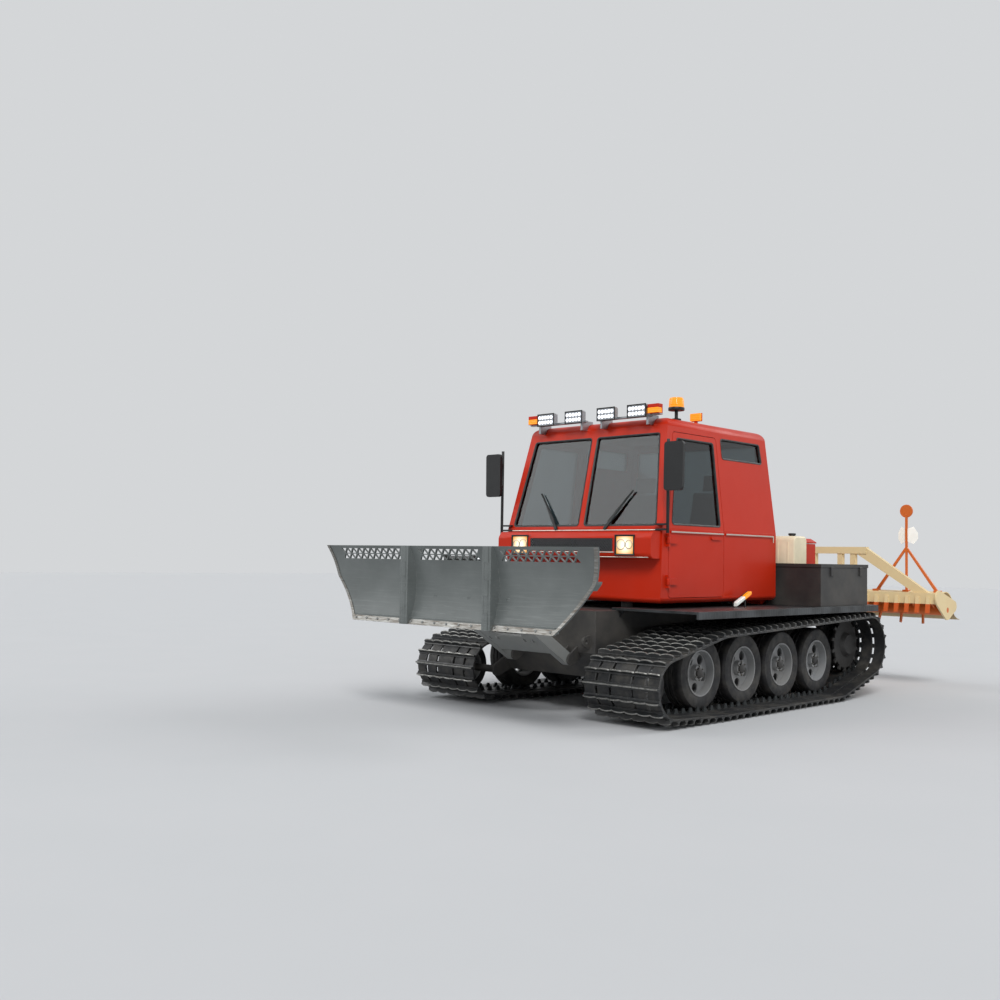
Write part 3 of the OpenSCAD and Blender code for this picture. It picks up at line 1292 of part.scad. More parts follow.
chassis();
brackets();
wheel_arms();
road_wheels();
tyres();
sprockets();
track_left();
track_right();
decks();
cab_frame();
cab_roof();
windscreen();
cab_glass();
front_panel();
grille();
headlamps();
roof_lamps();
beacon();
wipers();
mirrors();
seat_frames();
seat_pads();
console();
engine_block();
engine_bay();
exhaust();
side_boxes();
rear_lamps();
door_left();
door_right();
glass_left();
glass_right();
hood();
lift_arms();
top_link();
carrier();
swivel_frame();
blade_centre();
wing_left();
wing_right();
lift_barrels();
lift_rods();
swivel_barrel();
swivel_rod();
tilt_barrel();
tilt_rod();
wing_barrel_left();
wing_rod_left();
wing_barrel_right();
wing_rod_right();
rear_arms();
rear_link();
rear_carrier();
rear_barrels();
rear_rods();
tiller_frame();
tiller_rotor();
comb_flap();
marker_frames();
marker_vanes();
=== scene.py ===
import math
from functools import partial

import bmesh
import bpy
from mathutils import Matrix, Vector


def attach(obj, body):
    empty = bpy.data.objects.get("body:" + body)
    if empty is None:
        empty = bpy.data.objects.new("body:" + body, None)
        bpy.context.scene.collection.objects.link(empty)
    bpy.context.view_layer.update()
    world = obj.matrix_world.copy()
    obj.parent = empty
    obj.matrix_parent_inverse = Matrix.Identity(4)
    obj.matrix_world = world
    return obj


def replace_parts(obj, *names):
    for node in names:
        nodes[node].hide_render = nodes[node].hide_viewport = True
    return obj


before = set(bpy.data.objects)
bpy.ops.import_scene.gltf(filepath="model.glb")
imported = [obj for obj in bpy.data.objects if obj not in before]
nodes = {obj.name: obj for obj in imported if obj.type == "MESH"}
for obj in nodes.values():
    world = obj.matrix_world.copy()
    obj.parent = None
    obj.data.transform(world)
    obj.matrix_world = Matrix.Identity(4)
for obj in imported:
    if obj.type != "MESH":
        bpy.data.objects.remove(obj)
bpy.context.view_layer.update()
print("frame loaded:", len(nodes), "nodes")

millimetre = 0.001
originY = -1.551317  # the windscreen sill lies at this y


def at(x, y, z):
    return Vector((x * millimetre, y * millimetre + originY, z * millimetre))


# Camera, as the photograph was taken: low, beside a track, looking along the machine
camera = {"place": (6.652, -7.898 + originY, 1.377), "yaw": -44.34, "pitch": 3.04, "roll": 1.0,
          "focalPixels": 1092.7, "photoPixels": 1000, "sensorMm": 36, "farthest": 300}


def makeCamera(c):
    yaw, pitch, roll = (math.radians(c[k]) for k in ("yaw", "pitch", "roll"))
    look = Vector((math.sin(yaw) * math.cos(pitch), math.cos(yaw) * math.cos(pitch), math.sin(pitch)))
    side = look.cross(Vector((0, 0, 1))).normalized()
    up = side.cross(look)
    right = side * math.cos(roll) + up * math.sin(roll)
    top = -side * math.sin(roll) + up * math.cos(roll)
    data = bpy.data.cameras.new("camera")
    data.sensor_width = c["sensorMm"]
    data.lens = c["focalPixels"] / c["photoPixels"] * c["sensorMm"]
    data.clip_end = c["farthest"]
    made = bpy.data.objects.new("camera", data)
    bpy.context.scene.collection.objects.link(made)
    rows = [(right[i], top[i], -look[i], c["place"][i]) for i in range(3)]
    made.matrix_world = Matrix(rows + [(0, 0, 0, 1)])
    bpy.context.scene.camera = made


makeCamera(camera)
bpy.context.scene.view_settings.view_transform = "Standard"


# Materials. Object coordinates are metres in the machine's own frame.
def toLinear(hexCode, shade=1.0, lift=0.0):
    # sRGB hex to linear, made darker or paler by shade and lift
    parts = [int(hexCode[i:i + 2], 16) / 255 for i in (1, 3, 5)]
    linear = [c / 12.92 if c <= 0.04045 else ((c + 0.055) / 1.055) ** 2.4 for c in parts]
    return tuple(c * shade + lift for c in linear) + (1.0,)


def feed(tree, node, inputs):
    # inputs: values by socket name or number, or a row of them; sockets are linked, other values are set
    for key, value in inputs.items() if isinstance(inputs, dict) else enumerate(inputs):
        if isinstance(value, bpy.types.NodeSocket):
            tree.links.new(value, node.inputs[key])
        else:
            node.inputs[key].default_value = value


def addNode(tree, kind, inputs=(), output=0, **settings):
    node = tree.nodes.new("ShaderNode" + kind)
    for name, value in settings.items():
        setattr(node, name, value)
    feed(tree, node, inputs)
    return node.outputs[output]


# A Mix node of colours takes its share in socket 0, its colours in 6 and 7, and gives output 2
colourMix = {"output": 2, "data_type": "RGBA"}


def newMaterial(name, **constants):
    # add makes a node in this material, shade feeds its shader
    made = bpy.data.materials.new(name)
    made.use_nodes = True
    tree = made.node_tree
    add, shade = partial(addNode, tree), partial(feed, tree, tree.nodes["Principled BSDF"])
    shade({key.replace("_", " "): value for key, value in constants.items()})
    return made, add, shade, add("TexCoord", output="Object")


def perMetre(sizeMm):
    return 1000 / sizeMm


def bandScale(sizeMm):
    # a wave node draws 3.18 bands to the metre at scale 1, close to pi
    return perMetre(sizeMm) / math.pi


def patches(add, place, sizeMm, cut, to=(0.0, 1.0), detail=3.0, roughness=0.55):
    # uneven patches of a real size: the part of the noise's range in cut is stretched to the one in to
    cloud = {"Vector": place, "Scale": perMetre(sizeMm), "Detail": detail, "Roughness": roughness}
    return add("MapRange", (add("TexNoise", cloud), *cut, *to))


def fineRelief(add, place, sizeMm, depthMm, strength, detail):
    # pits or peel of a real size and depth
    grain = {"Vector": place, "Scale": perMetre(sizeMm), "Detail": detail, "Roughness": 0.55}
    relief = {"Height": add("TexNoise", grain), "Distance": depthMm * millimetre, "Strength": strength}
    return add("Bump", relief)


def edgeMask(add, radiusMm):
    # 1 along edges, where a softened normal leaves the flat one
    soft = add("Bevel", {"Radius": radiusMm * millimetre}, samples=4)
    flat = add("NewGeometry", output="Normal")
    dot = add("VectorMath", (soft, flat), "Value", operation="DOT_PRODUCT")
    return add("MapRange", (add("Math", (1.0, dot), operation="SUBTRACT"), 0.02, 0.2))


def heightMask(add, place, none, full, least=0.0):
    # from least at the height none to 1 at the height full, both in metres
    return add("MapRange", (add("SeparateXYZ", (place,), "Z"), none, full, least, 1.0))


def paintedSteel(name, colour, worn="#5A5A58", dust="#8A8378", rough=0.32, wear=0.5, dusty=0.25, coat=0.0,
                 gloss=0.5):
    # Sprayed enamel on steel: faint orange peel, chipped edges and road film low down
    made, add, shade, place = newMaterial(name, IOR=1.5, Coat_Weight=coat, Coat_Roughness=0.08,
                                          Specular_IOR_Level=gloss)
    fading = patches(add, place, 900, (0.35, 0.7), (0.0, 0.5), 2)
    tone = add("Mix", {0: fading, 6: toLinear(colour), 7: toLinear(colour, 0.84)}, **colourMix)
    film = patches(add, place, 420, (0.3, 0.8), (0.0, dusty), 7, 0.6)
    film = add("Math", (film, heightMask(add, place, 2.1, 0.5)), operation="MULTIPLY")
    tone = add("Mix", {0: film, 6: tone, 7: toLinear(dust)}, **colourMix)
    chips = patches(add, place, 28, (0.5, 0.62), (0.0, wear), 5, 0.7)
    chips = add("Math", (edgeMask(add, 5), chips), operation="MULTIPLY")
    shade({"Base Color": add("Mix", {0: chips, 6: tone, 7: toLinear(worn)}, **colourMix),
           "Metallic": chips,
           "Roughness": patches(add, place, 220, (0.3, 0.75), (rough - 0.04, rough + 0.1), 5),
           "Normal": fineRelief(add, place, 9, 0.25, 0.25, 2)})
    return made


# Cab and hood enamel, red with an orange cast, washed but with a thin film of road salt
cabEnamel = paintedSteel("cabEnamel", "#C4290C", rough=0.38, wear=0.2, dusty=0.1, dust="#8A5A48", coat=0.06,
                         gloss=0.2)
# Tub, arms and boxes: anthracite chassis paint, matt with film
chassisPaint = paintedSteel("chassisPaint", "#2B2C2E", rough=0.5, wear=0.5, dusty=0.4)
# Stowage boxes: satin black powder coat
boxPaint = paintedSteel("boxPaint", "#242527", rough=0.45, wear=0.5, dusty=0.35, gloss=0.35)
# Lift arms, carrier and links: light grey enamel, scuffed on its corners
linkEnamel = paintedSteel("linkEnamel", "#8C8F8E", worn="#4A3A2E", rough=0.4, wear=0.7, dusty=0.3)
# Tiller frame: orange enamel bleached by frost and sun
tillerEnamel = paintedSteel("tillerEnamel", "#DB6E2E", worn="#6A5A50", rough=0.42, wear=0.8, dusty=0.3,
                            dust="#B98A6A", gloss=0.3)


def trussPaint(name, combHalf, combRear, combTop):
    # Truss: cream enamel, with the comb under its lower beam in orange
    made = paintedSteel(name, "#EBD6A6", worn="#6A5A50", rough=0.42, wear=0.7, dusty=0.25, dust="#C98A50",
                        gloss=0.3)
    tree = made.node_tree
    shader = tree.nodes["Principled BSDF"]
    add = partial(addNode, tree)
    cream = shader.inputs["Base Color"].links[0].from_socket
    xyz = add("SeparateXYZ", (add("TexCoord", output="Object"),)).node.outputs
    across = add("Math", (xyz["X"],), operation="ABSOLUTE")
    inside = add("Math", (across, combHalf), operation="LESS_THAN")
    for value, limit in ((xyz["Y"], combRear), (xyz["Z"], combTop)):
        below = add("Math", (value, limit), operation="LESS_THAN")
        inside = add("Math", (inside, below), operation="MULTIPLY")
    orange = {0: inside, 6: cream, 7: toLinear("#D4602C")}
    feed(tree, shader, {"Base Color": add("Mix", orange, **colourMix)})
    return made


trussEnamel = trussPaint("trussEnamel", 1.639, 4.2155 + originY, 0.9495)
# Road wheels: silver-grey wheel enamel
wheelEnamel = paintedSteel("wheelEnamel", "#9A9C9E", rough=0.38, wear=0.4, dusty=0.5)
# Hydraulic barrels: black enamel
barrelEnamel = paintedSteel("barrelEnamel", "#1C1D1F", rough=0.35, wear=0.5, dusty=0.3)


def scouredPaint(name):
    # Mouldboard: grey-green enamel scoured by snow, bright long scratches and scuffs along its lower half
    made, add, shade, place = newMaterial(name, IOR=1.5)
    stretched = add("Mapping", {"Vector": place, "Scale": (0.2, 1.0, 4.0)})
    scour = add("TexNoise", {"Vector": stretched, "Scale": perMetre(60), "Detail": 8, "Roughness": 0.7})
    fading = patches(add, place, 420, (0.3, 0.7))
    tone = add("Mix", {0: fading, 6: toLinear("#6B706F"), 7: toLinear("#5B605F")}, **colourMix)
    bare = add("MapRange", (scour, 0.5, 0.74, 0.0, 0.55))
    bare = add("Math", (bare, heightMask(add, place, 1.35, 0.8, 0.15)), operation="MULTIPLY")
    edges = patches(add, place, 30, (0.4, 0.6), (0.2, 0.9), 4)
    edges = add("Math", (edgeMask(add, 6), edges), operation="MULTIPLY")
    shine = add("Math", (bare, edges), operation="MAXIMUM")
    shade({"Base Color": add("Mix", {0: shine, 6: tone, 7: toLinear("#929694")}, **colourMix),
           "Metallic": add("Math", (shine, 0.35), operation="MULTIPLY"),
           "Roughness": add("MapRange", (scour, 0.3, 0.7, 0.42, 0.6)),
           "Normal": add("Bump", {"Height": scour, "Distance": 0.4 * millimetre, "Strength": 0.35})})
    return made


bladeEnamel = scouredPaint("bladeEnamel")


def bareMetal(name, colour, tint, rough, grainMm, spread=0.12, stretch=(1.0, 1.0, 1.0)):
    # Metal without paint: its grain is stretched along the way it was drawn or rubbed
    made, add, shade, place = newMaterial(name, Metallic=1.0)
    drawn = add("Mapping", {"Vector": place, "Scale": stretch})
    grain = add("TexNoise", {"Vector": drawn, "Scale": perMetre(grainMm), "Detail": 6, "Roughness": 0.65})
    colours = {0: add("MapRange", (grain, 0.35, 0.7)), 6: toLinear(colour), 7: toLinear(tint)}
    shade({"Base Color": add("Mix", colours, **colourMix),
           "Roughness": add("MapRange", (grain, 0.3, 0.7, rough - spread / 2, rough + spread)),
           "Normal": add("Bump", {"Height": grain, "Distance": 0.1 * millimetre, "Strength": 0.2})})
    return made


# Hard chromed rod, mirror-like
rodChrome = bareMetal("rodChrome", "#C9CBCD", "#B9BCC0", 0.08, 12, 0.05)
# Die-cast aluminium lamp housings, satin
lampAlloy = bareMetal("lampAlloy", "#A9ACAF", "#8F9295", 0.36, 6)
# Stainless exhaust, tinted brown by heat
exhaustSteel = bareMetal("exhaustSteel", "#8C8279", "#5F4C3D", 0.38, 90)
# Grouser crest, rubbed to bright aluminium
crestAlloy = bareMetal("crestAlloy", "#A6A6A2", "#6A6864", 0.36, 18, 0.2)
# Cutting edge, hard steel scoured bright along its length
wornSteel = bareMetal("wornSteel", "#9C9D9A", "#6F665D", 0.42, 40, 0.2, (0.3, 1, 3))
# Drawn aluminium trim bead, pale
beadAlloy = bareMetal("beadAlloy", "#D6D3C9", "#B9B5AA", 0.3, 20, 0.12, (1, 0.1, 1))
# Galvanised wire mesh, dulled
meshSteel = bareMetal("meshSteel", "#8A8C8E", "#5E6062", 0.45, 8)
# Silvered glass, a clear reflection
mirrorGlass = bareMetal("mirrorGlass", "#DDE1E3", "#D2D7DA", 0.04, 200, 0.03)
# Cast iron, oily and dark
engineIron = bareMetal("engineIron", "#4C4F50", "#333536", 0.6, 25)


def rubber(name, colour, rough, grainMm, dusty, dust="#6F6A61"):
    # Moulded rubber: fine pitted skin, greyed by dried slush in its hollows
    made, add, shade, place = newMaterial(name, IOR=1.52)
    grime = patches(add, place, 170, (0.45, 0.72), (0.0, dusty), 7, 0.65)
    tone = add("Mix", {0: grime, 6: toLinear(colour), 7: toLinear(dust)}, **colourMix)
    scuffs = patches(add, place, 36, (0.38, 0.6), (0.1, 0.8), 4)
    scuffs = add("Math", (edgeMask(add, 7), scuffs), operation="MULTIPLY")
    shade({"Base Color": add("Mix", {0: scuffs, 6: tone, 7: toLinear("#6E6E6C")}, **colourMix),
           "Roughness": patches(add, place, 50, (0.3, 0.7), (rough - 0.1, rough + 0.1), 4),
           "Normal": fineRelief(add, place, grainMm, 0.6, 0.4, 4)})
    return made


trackRubber = rubber("trackRubber", "#17181A", 0.55, 9, 0.35)  # moulded track belt
sealRubber = rubber("sealRubber", "#101112", 0.5, 4, 0.1)  # extruded window profile, even and black
tyreRubber = rubber("tyreRubber", "#18181A", 0.62, 7, 0.35)  # solid tyre, matt
flapRubber = rubber("flapRubber", "#B49A6C", 0.6, 8, 0.5, "#8D8370")  # pale finishing mat, stained
# Aluminium grouser bar under a black rubbery coat, rubbed bright on its edges
grouserBar = rubber("grouserBar", "#1E2022", 0.42, 14, 0.3, "#5F5B55")


def plastic(name, colour, rough, grainMm=2.5, depthMm=0.2):
    # Moulded ABS: even fine grain, soft sheen
    made, add, shade, place = newMaterial(name, IOR=1.46)
    bloom = {0: patches(add, place, 300, (0.3, 0.7)), 6: toLinear(colour), 7: toLinear(colour, 1.35, 0.002)}
    shade({"Base Color": add("Mix", bloom, **colourMix),
           "Roughness": patches(add, place, 45, (0.3, 0.7), (rough - 0.06, rough + 0.08), 4),
           "Normal": fineRelief(add, place, grainMm, depthMm, 0.3, 2)})
    return made


blackPlastic = plastic("blackPlastic", "#161718", 0.45)  # moulded ABS, satin
tankPlastic = plastic("tankPlastic", "#E2D6B8", 0.5, 8, 0.3)  # blown polyethylene, cream
dashPlastic = plastic("dashPlastic", "#26282A", 0.55, 4, 0.4)  # grained dashboard skin
drivePlastic = plastic("drivePlastic", "#333231", 0.5, 6, 0.3)  # cast polyurethane sprocket, scuffed
vanePlastic = plastic("vanePlastic", "#F6F4EC", 0.4, 5, 0.15)  # white acrylic sighting vanes


def toughenedGlass(name, tint):
    # Toughened glass, faintly green, with wiped streaks in its film
    made, add, shade, place = newMaterial(name, IOR=1.52, Transmission_Weight=1.0)
    wiped = add("Mapping", {"Vector": place, "Scale": (1.0, 1.0, 0.3)})
    streaks = add("TexNoise", {"Vector": wiped, "Scale": perMetre(120), "Detail": 6, "Roughness": 0.55})
    film = {0: streaks, 6: toLinear(tint), 7: toLinear(tint, 1.25)}
    shade({"Base Color": add("Mix", film, **colourMix),
           "Roughness": add("MapRange", (streaks, 0.4, 0.8, 0.0, 0.006))})
    return made


cabGlass = toughenedGlass("cabGlass", "#6E7A7D")


def lens(name, colour, glow, ribsMm, axis="X", glowColour=None):
    # Polycarbonate lens with moulded ribs, lit from behind
    made, add, shade, place = newMaterial(name, IOR=1.58, Emission_Strength=glow, Roughness=0.12)
    ribs = add("TexWave", {"Vector": place, "Scale": bandScale(ribsMm)}, "Fac", bands_direction=axis)
    body = {0: ribs, 6: toLinear(colour, 0.75), 7: toLinear(colour)}
    light = {0: ribs, 6: toLinear(glowColour or colour), 7: toLinear(colour)}
    shade({"Base Color": add("Mix", body, **colourMix),
           "Emission Color": add("Mix", light, **colourMix),
           "Normal": add("Bump", {"Height": ribs, "Distance": 1.2 * millimetre, "Strength": 0.6})})
    return made


def headLens(name, centreMm, halfMm):
    # Fluted polycarbonate over a reflector: hot in its middle, amber towards its rim
    made, add, shade, place = newMaterial(name, IOR=1.58, Roughness=0.14)
    xyz = add("SeparateXYZ", (place,)).node.outputs
    outward = add("Math", (xyz["X"],), operation="ABSOLUTE")
    across = add("Math", (outward, centreMm[0] * millimetre), operation="SUBTRACT")
    above = add("Math", (xyz["Z"], centreMm[1] * millimetre), operation="SUBTRACT")
    squares = [add("Math", (d, 2.0), operation="POWER") for d in (across, above)]
    reach = add("Math", (add("Math", squares, operation="ADD"),), operation="SQRT")
    reach = add("Math", (reach, halfMm * millimetre), operation="DIVIDE")
    flutes = add("TexWave", {"Vector": place, "Scale": bandScale(12)}, "Fac", bands_direction="X")
    warm = {0: add("MapRange", (reach, 0.25, 1.15)), 6: toLinear("#FFF6DC"), 7: toLinear("#F2A73C")}
    tone = add("Mix", warm, **colourMix)
    grooves = {0: add("MapRange", (flutes, 0, 1, 0.0, 0.25)), 6: tone, 7: toLinear("#C98A3A")}
    shade({"Base Color": add("Mix", grooves, **colourMix), "Emission Color": tone,
           "Emission Strength": add("MapRange", (reach, 0.2, 1.3, 1.0, 0.15)),
           "Normal": add("Bump", {"Height": flutes, "Distance": 1.5 * millimetre, "Strength": 0.6})})
    return made


warmLens = headLens("warmLens", (640, 1512), 100)
ledLens = lens("ledLens", "#F4F7FF", 1.1, 10)  # cold white light cells
amberLens = lens("amberLens", "#F59A18", 0.5, 18, "Z", "#FF8A00")  # beacon and markers, a deeper glow inside
clearLens = lens("clearLens", "#EDF1EC", 0.2, 12, "Y")  # front half of the deck's marker lamp
redLens = lens("redLens", "#B01812", 0.15, 10, "Z")  # rear lamps


def seatCloth(name):
    # Woven seat cloth: 1.5 mm threads drawn at 5 mm so that they show
    made, add, shade, place = newMaterial(name, IOR=1.45, Roughness=0.85, Sheen_Weight=0.3,
                                          Sheen_Roughness=0.5)
    threads = [add("TexWave", {"Vector": place, "Scale": bandScale(5)}, "Fac", bands_direction=axis)
               for axis in "XZ"]
    weave = add("Math", threads, operation="MULTIPLY")
    colours = {0: weave, 6: toLinear("#1D2023"), 7: toLinear("#34393E")}
    shade({"Base Color": add("Mix", colours, **colourMix),
           "Normal": add("Bump", {"Height": weave, "Distance": 0.8 * millimetre, "Strength": 0.5})})
    return made


cushionCloth = seatCloth("cushionCloth")


def treadPlate(name):
    # Rolled aluminium tread plate: raised bars 30 mm apart, crossed by turns
    made, add, shade, place = newMaterial(name, Metallic=1.0)
    turned = add("Mapping", {"Vector": place, "Rotation": (0, 0, math.radians(45))})
    xyz = add("SeparateXYZ", (turned,)).node.outputs
    turns = [add("Math", (xyz[axis], perMetre(30) * math.pi), operation="MULTIPLY") for axis in "XY"]
    waves = [add("Math", (turn,), operation="SINE") for turn in turns]
    crossed = add("Math", (add("Math", waves, operation="MULTIPLY"),), operation="ABSOLUTE")
    bars = add("MapRange", (crossed, 0.45, 0.7))
    grime = {0: patches(add, place, 200, (0.4, 0.7), (0.0, 0.7), 6), 6: toLinear("#5C5F61"),
             7: toLinear("#2C2B29")}
    shade({"Base Color": add("Mix", grime, **colourMix),
           "Roughness": add("MapRange", (bars, 0.0, 1.0, 0.5, 0.3)),
           "Normal": add("Bump", {"Height": bars, "Distance": 2.0 * millimetre, "Strength": 0.8})})
    return made


deckPlate = treadPlate("deckPlate")
print("materials made:", len(bpy.data.materials))

finishOf = {
    chassisPaint: ["chassis", "brackets", "wheel_arms"], boxPaint: ["side_boxes"],
    vanePlastic: ["marker_vanes"], wheelEnamel: ["road_wheels"], tyreRubber: ["tyres"],
    drivePlastic: ["sprockets"], trackRubber: ["track_left", "track_right"], deckPlate: ["decks"],
    cabEnamel: ["cab_frame", "cab_roof", "front_panel", "engine_bay", "door_left", "door_right", "hood"],
    cabGlass: ["windscreen", "cab_glass", "glass_left", "glass_right"],
    blackPlastic: ["grille", "wipers", "mirrors", "seat_frames"], dashPlastic: ["console"],
    warmLens: ["headlamps"], lampAlloy: ["roof_lamps"], amberLens: ["beacon"], redLens: ["rear_lamps"],
    cushionCloth: ["seat_pads"], engineIron: ["engine_block"], exhaustSteel: ["exhaust"],
    linkEnamel: ["lift_arms", "top_link", "carrier", "swivel_frame"],
    bladeEnamel: ["blade_centre", "wing_left", "wing_right"],
    barrelEnamel: ["lift_barrels", "swivel_barrel", "tilt_barrel", "wing_barrel_left", "wing_barrel_right",
                   "rear_barrels"],
    rodChrome: ["lift_rods", "swivel_rod", "tilt_rod", "wing_rod_left", "wing_rod_right", "rear_rods"],
    trussEnamel: ["tiller_frame"], flapRubber: ["comb_flap"],
    tillerEnamel: ["rear_arms", "rear_link", "rear_carrier", "tiller_rotor", "marker_frames"]}
for finish, names in finishOf.items():
    for name in names:
        mesh = nodes[name].data
        mesh.materials.clear()
        mesh.materials.append(finish)

# Rounded corners in mm on plates, boxes and castings, so that edges catch the light
roundedBy = {
    2: ["marker_frames", "decks", "roof_lamps", "sprockets"],
    3: ["brackets", "engine_bay", "hood", "lift_arms", "top_link", "carrier", "swivel_frame", "rear_arms",
        "rear_link", "rear_carrier", "tiller_frame", "cab_frame", "cab_roof", "door_left", "door_right",
        "rear_lamps"],
    4: ["chassis", "front_panel", "mirrors"], 6: ["side_boxes"], 8: ["console"], 12: ["engine_block"]}
for size, names in roundedBy.items():
    for name in names:
        weld = nodes[name].modifiers.new("weld", "WELD")
        weld.merge_threshold = 0.00002
        bevel = nodes[name].modifiers.new("corners", "BEVEL")
        bevel.width = size * millimetre
        bevel.segments = 2
        bevel.limit_method = "ANGLE"
        bevel.angle_limit = math.radians(40)
        bevel.use_clamp_overlap = True
        bevel.harden_normals = True
print("corners rounded on", sum(len(names) for names in roundedBy.values()), "nodes")


# Mesh helpers
def addPiece(name, work, finish, body="chassis", smooth=30):
    bmesh.ops.recalc_face_normals(work, faces=work.faces)
    mesh = bpy.data.meshes.new(name)
    work.to_mesh(mesh)
    work.free()
    mesh.materials.append(finish)
    for face in mesh.polygons:
        face.use_smooth = True
    mesh.set_sharp_from_angle(angle=math.radians(smooth))
    made = bpy.data.objects.new(name, mesh)
    bpy.context.scene.collection.objects.link(made)
    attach(made, body)
    return made


def addLoft(work, sections, closedRing=False):
    # Skins equal rows of points; closedRing joins the last row to the first, else both ends are capped
    rows = [[work.verts.new(p) for p in section] for section in sections]
    count = len(rows[0])
    pairs = list(zip(rows, rows[1:])) + ([(rows[-1], rows[0])] if closedRing else [])
    for a, b in pairs:
        for i in range(count):
            work.faces.new((a[i], a[(i + 1) % count], b[(i + 1) % count], b[i]))
    if not closedRing:
        work.faces.new(rows[0])
        work.faces.new(rows[-1])


def addBox(work, low, high):
    outline = ((low[0], low[1]), (high[0], low[1]), (high[0], high[1]), (low[0], high[1]))
    addLoft(work, [[(x, y, z) for x, y in outline] for z in (low[2], high[2])])


def addTurned(work, profile, centre, axis, segments, facing=1):
    # profile: (radius, offset along the axis) in mm; facing -1 turns it round
    rows = []
    for k in range(segments):
        c, s = math.cos(2 * math.pi * k / segments), math.sin(2 * math.pi * k / segments)
        row = []
        for radius, offset in profile:
            r, o = radius * millimetre, offset * facing * millimetre
            local = {"X": (o, r * c, r * s), "Y": (r * s, o, r * c), "Z": (r * c, r * s, o)}[axis]
            row.append(work.verts.new(centre + Vector(local)))
        rows.append(row)
    for a, b in zip(rows, rows[1:] + rows[:1]):
        for i in range(len(profile) - 1):
            work.faces.new((a[i], a[i + 1], b[i + 1], b[i]))


def ringPoints(radius, sides, height=0.0):
    turns = [2 * math.pi * k / sides for k in range(sides)]
    return [Vector((radius * math.cos(a), radius * math.sin(a), height)) for a in turns]


def addRod(work, a, b, radiusMm, sides):
    turn = (b - a).to_track_quat("Z", "Y").to_matrix()
    addLoft(work, [[end + turn @ p for p in ringPoints(radiusMm * millimetre, sides)] for end in (a, b)])


# Bolts: sides, share of the size, foot and top as shares of the height, and how far the top draws in
boltShape = {"washer": (16, 0.95, 0.0, 0.2, 1.0), "head": (6, 0.62, 0.2, 1.0, 0.86), "shoulder": 0.8}


def addBolt(work, place, normal, sizeMm, heightMm):
    # Hexagonal head with a chamfered top, standing on a washer
    turn = Vector(normal).to_track_quat("Z", "Y").to_matrix()
    for sides, wide, foot, tip, drawn in (boltShape["washer"], boltShape["head"]):
        radius = sizeMm * wide * millimetre
        low, high = heightMm * foot * millimetre, heightMm * tip * millimetre
        shoulder = low + (high - low) * boltShape["shoulder"]
        rings = [(radius, low), (radius, shoulder), (radius * drawn, high)]
        rows = [[work.verts.new(place + turn @ p) for p in ringPoints(r, sides, h)] for r, h in rings]
        for a, b in zip(rows, rows[1:]):
            for k in range(sides):
                work.faces.new((a[k], a[(k + 1) % sides], b[(k + 1) % sides], b[k]))
        work.faces.new(rows[-1])


def stepsFrom(low, high, count):
    return [low + (high - low) * i / count for i in range(count + 1)]


def sideName(side):
    return "Left" if side > 0 else "Right"


# Tracks: five rubber belts joined by grouser bars with scalloped crests, and guide horns inside.
# Wheels are (y, z, radius) in the order in which the belt passes them. A bar's foot is (half width, height),
# its top and crest the same from the height of the scallops.
track = {
    "wheels": [(-470, 330, 235), (300, 393.3, 330), (2370, 393.3, 330), (3010, 530, 290), (300, 393.3, 330)],
    "belts": [(672, 788), (812, 934), (957, 1163), (1186, 1308), (1332, 1448)],
    "clear": 0.3, "thick": 18, "beltCorner": 4, "arcStep": 6, "straightStep": 150,
    "pitch": 110, "inner": 670, "outer": 1450, "barHigh": 45, "barFoot": [(22, -1), (22, 5), (11, 9)],
    "barTop": [(7, -3), (4, 0)], "crest": [(7.6, -4), (4.4, 0.5)],
    "scallops": 6, "scallopDeep": 15, "scallopSteps": 8, "scallopRound": 0.6,
    "middle": 1060, "hornOff": 122, "hornHigh": 42, "hornFoot": (9, 30), "hornTip": (5, 14)}


def tangentTurn(a, b):
    # the way out from both circles (place, place, radius) to the line that touches them
    away = math.acos((a[2] - b[2]) / math.hypot(b[0] - a[0], b[1] - a[1]))
    return math.atan2(b[1] - a[1], b[0] - a[0]) - away


def beltRuns(wheels, reach):
    turns = [tangentTurn(a, b) for a, b in zip(wheels, wheels[1:] + wheels[:1])]
    runs = []
    for k, a in enumerate(wheels):
        b = wheels[(k + 1) % len(wheels)]
        runs.append(("arc", (a[2] + reach) * ((turns[k] - turns[k - 1]) % (2 * math.pi)), a, turns[k - 1]))
        length = math.sqrt((b[0] - a[0]) ** 2 + (b[1] - a[1]) ** 2 - (a[2] - b[2]) ** 2)
        runs.append(("straight", length, a, turns[k]))
    return runs


def onBelt(runs, reach, along):
    # y, z and the way out at a length along the belt
    along %= sum(r[1] for r in runs)
    for kind, length, wheel, turn in runs:
        if along <= length:
            angle = turn + along / (wheel[2] + reach) if kind == "arc" else turn
            ahead = 0 if kind == "arc" else along
            return (wheel[0] + (wheel[2] + reach) * math.cos(angle) - ahead * math.sin(angle),
                    wheel[1] + (wheel[2] + reach) * math.sin(angle) + ahead * math.cos(angle), angle)
        along -= length


def fromBelt(side, spot, x, ahead, out):
    # a place at x across the track, ahead of a spot of the belt and out from its face
    y, z, angle = spot
    return at(side * x, y - ahead * math.sin(angle) + out * math.cos(angle),
              z + ahead * math.cos(angle) + out * math.sin(angle))


def bothFlanks(flank):
    return [(-u, v) for u, v in flank] + flank[::-1]


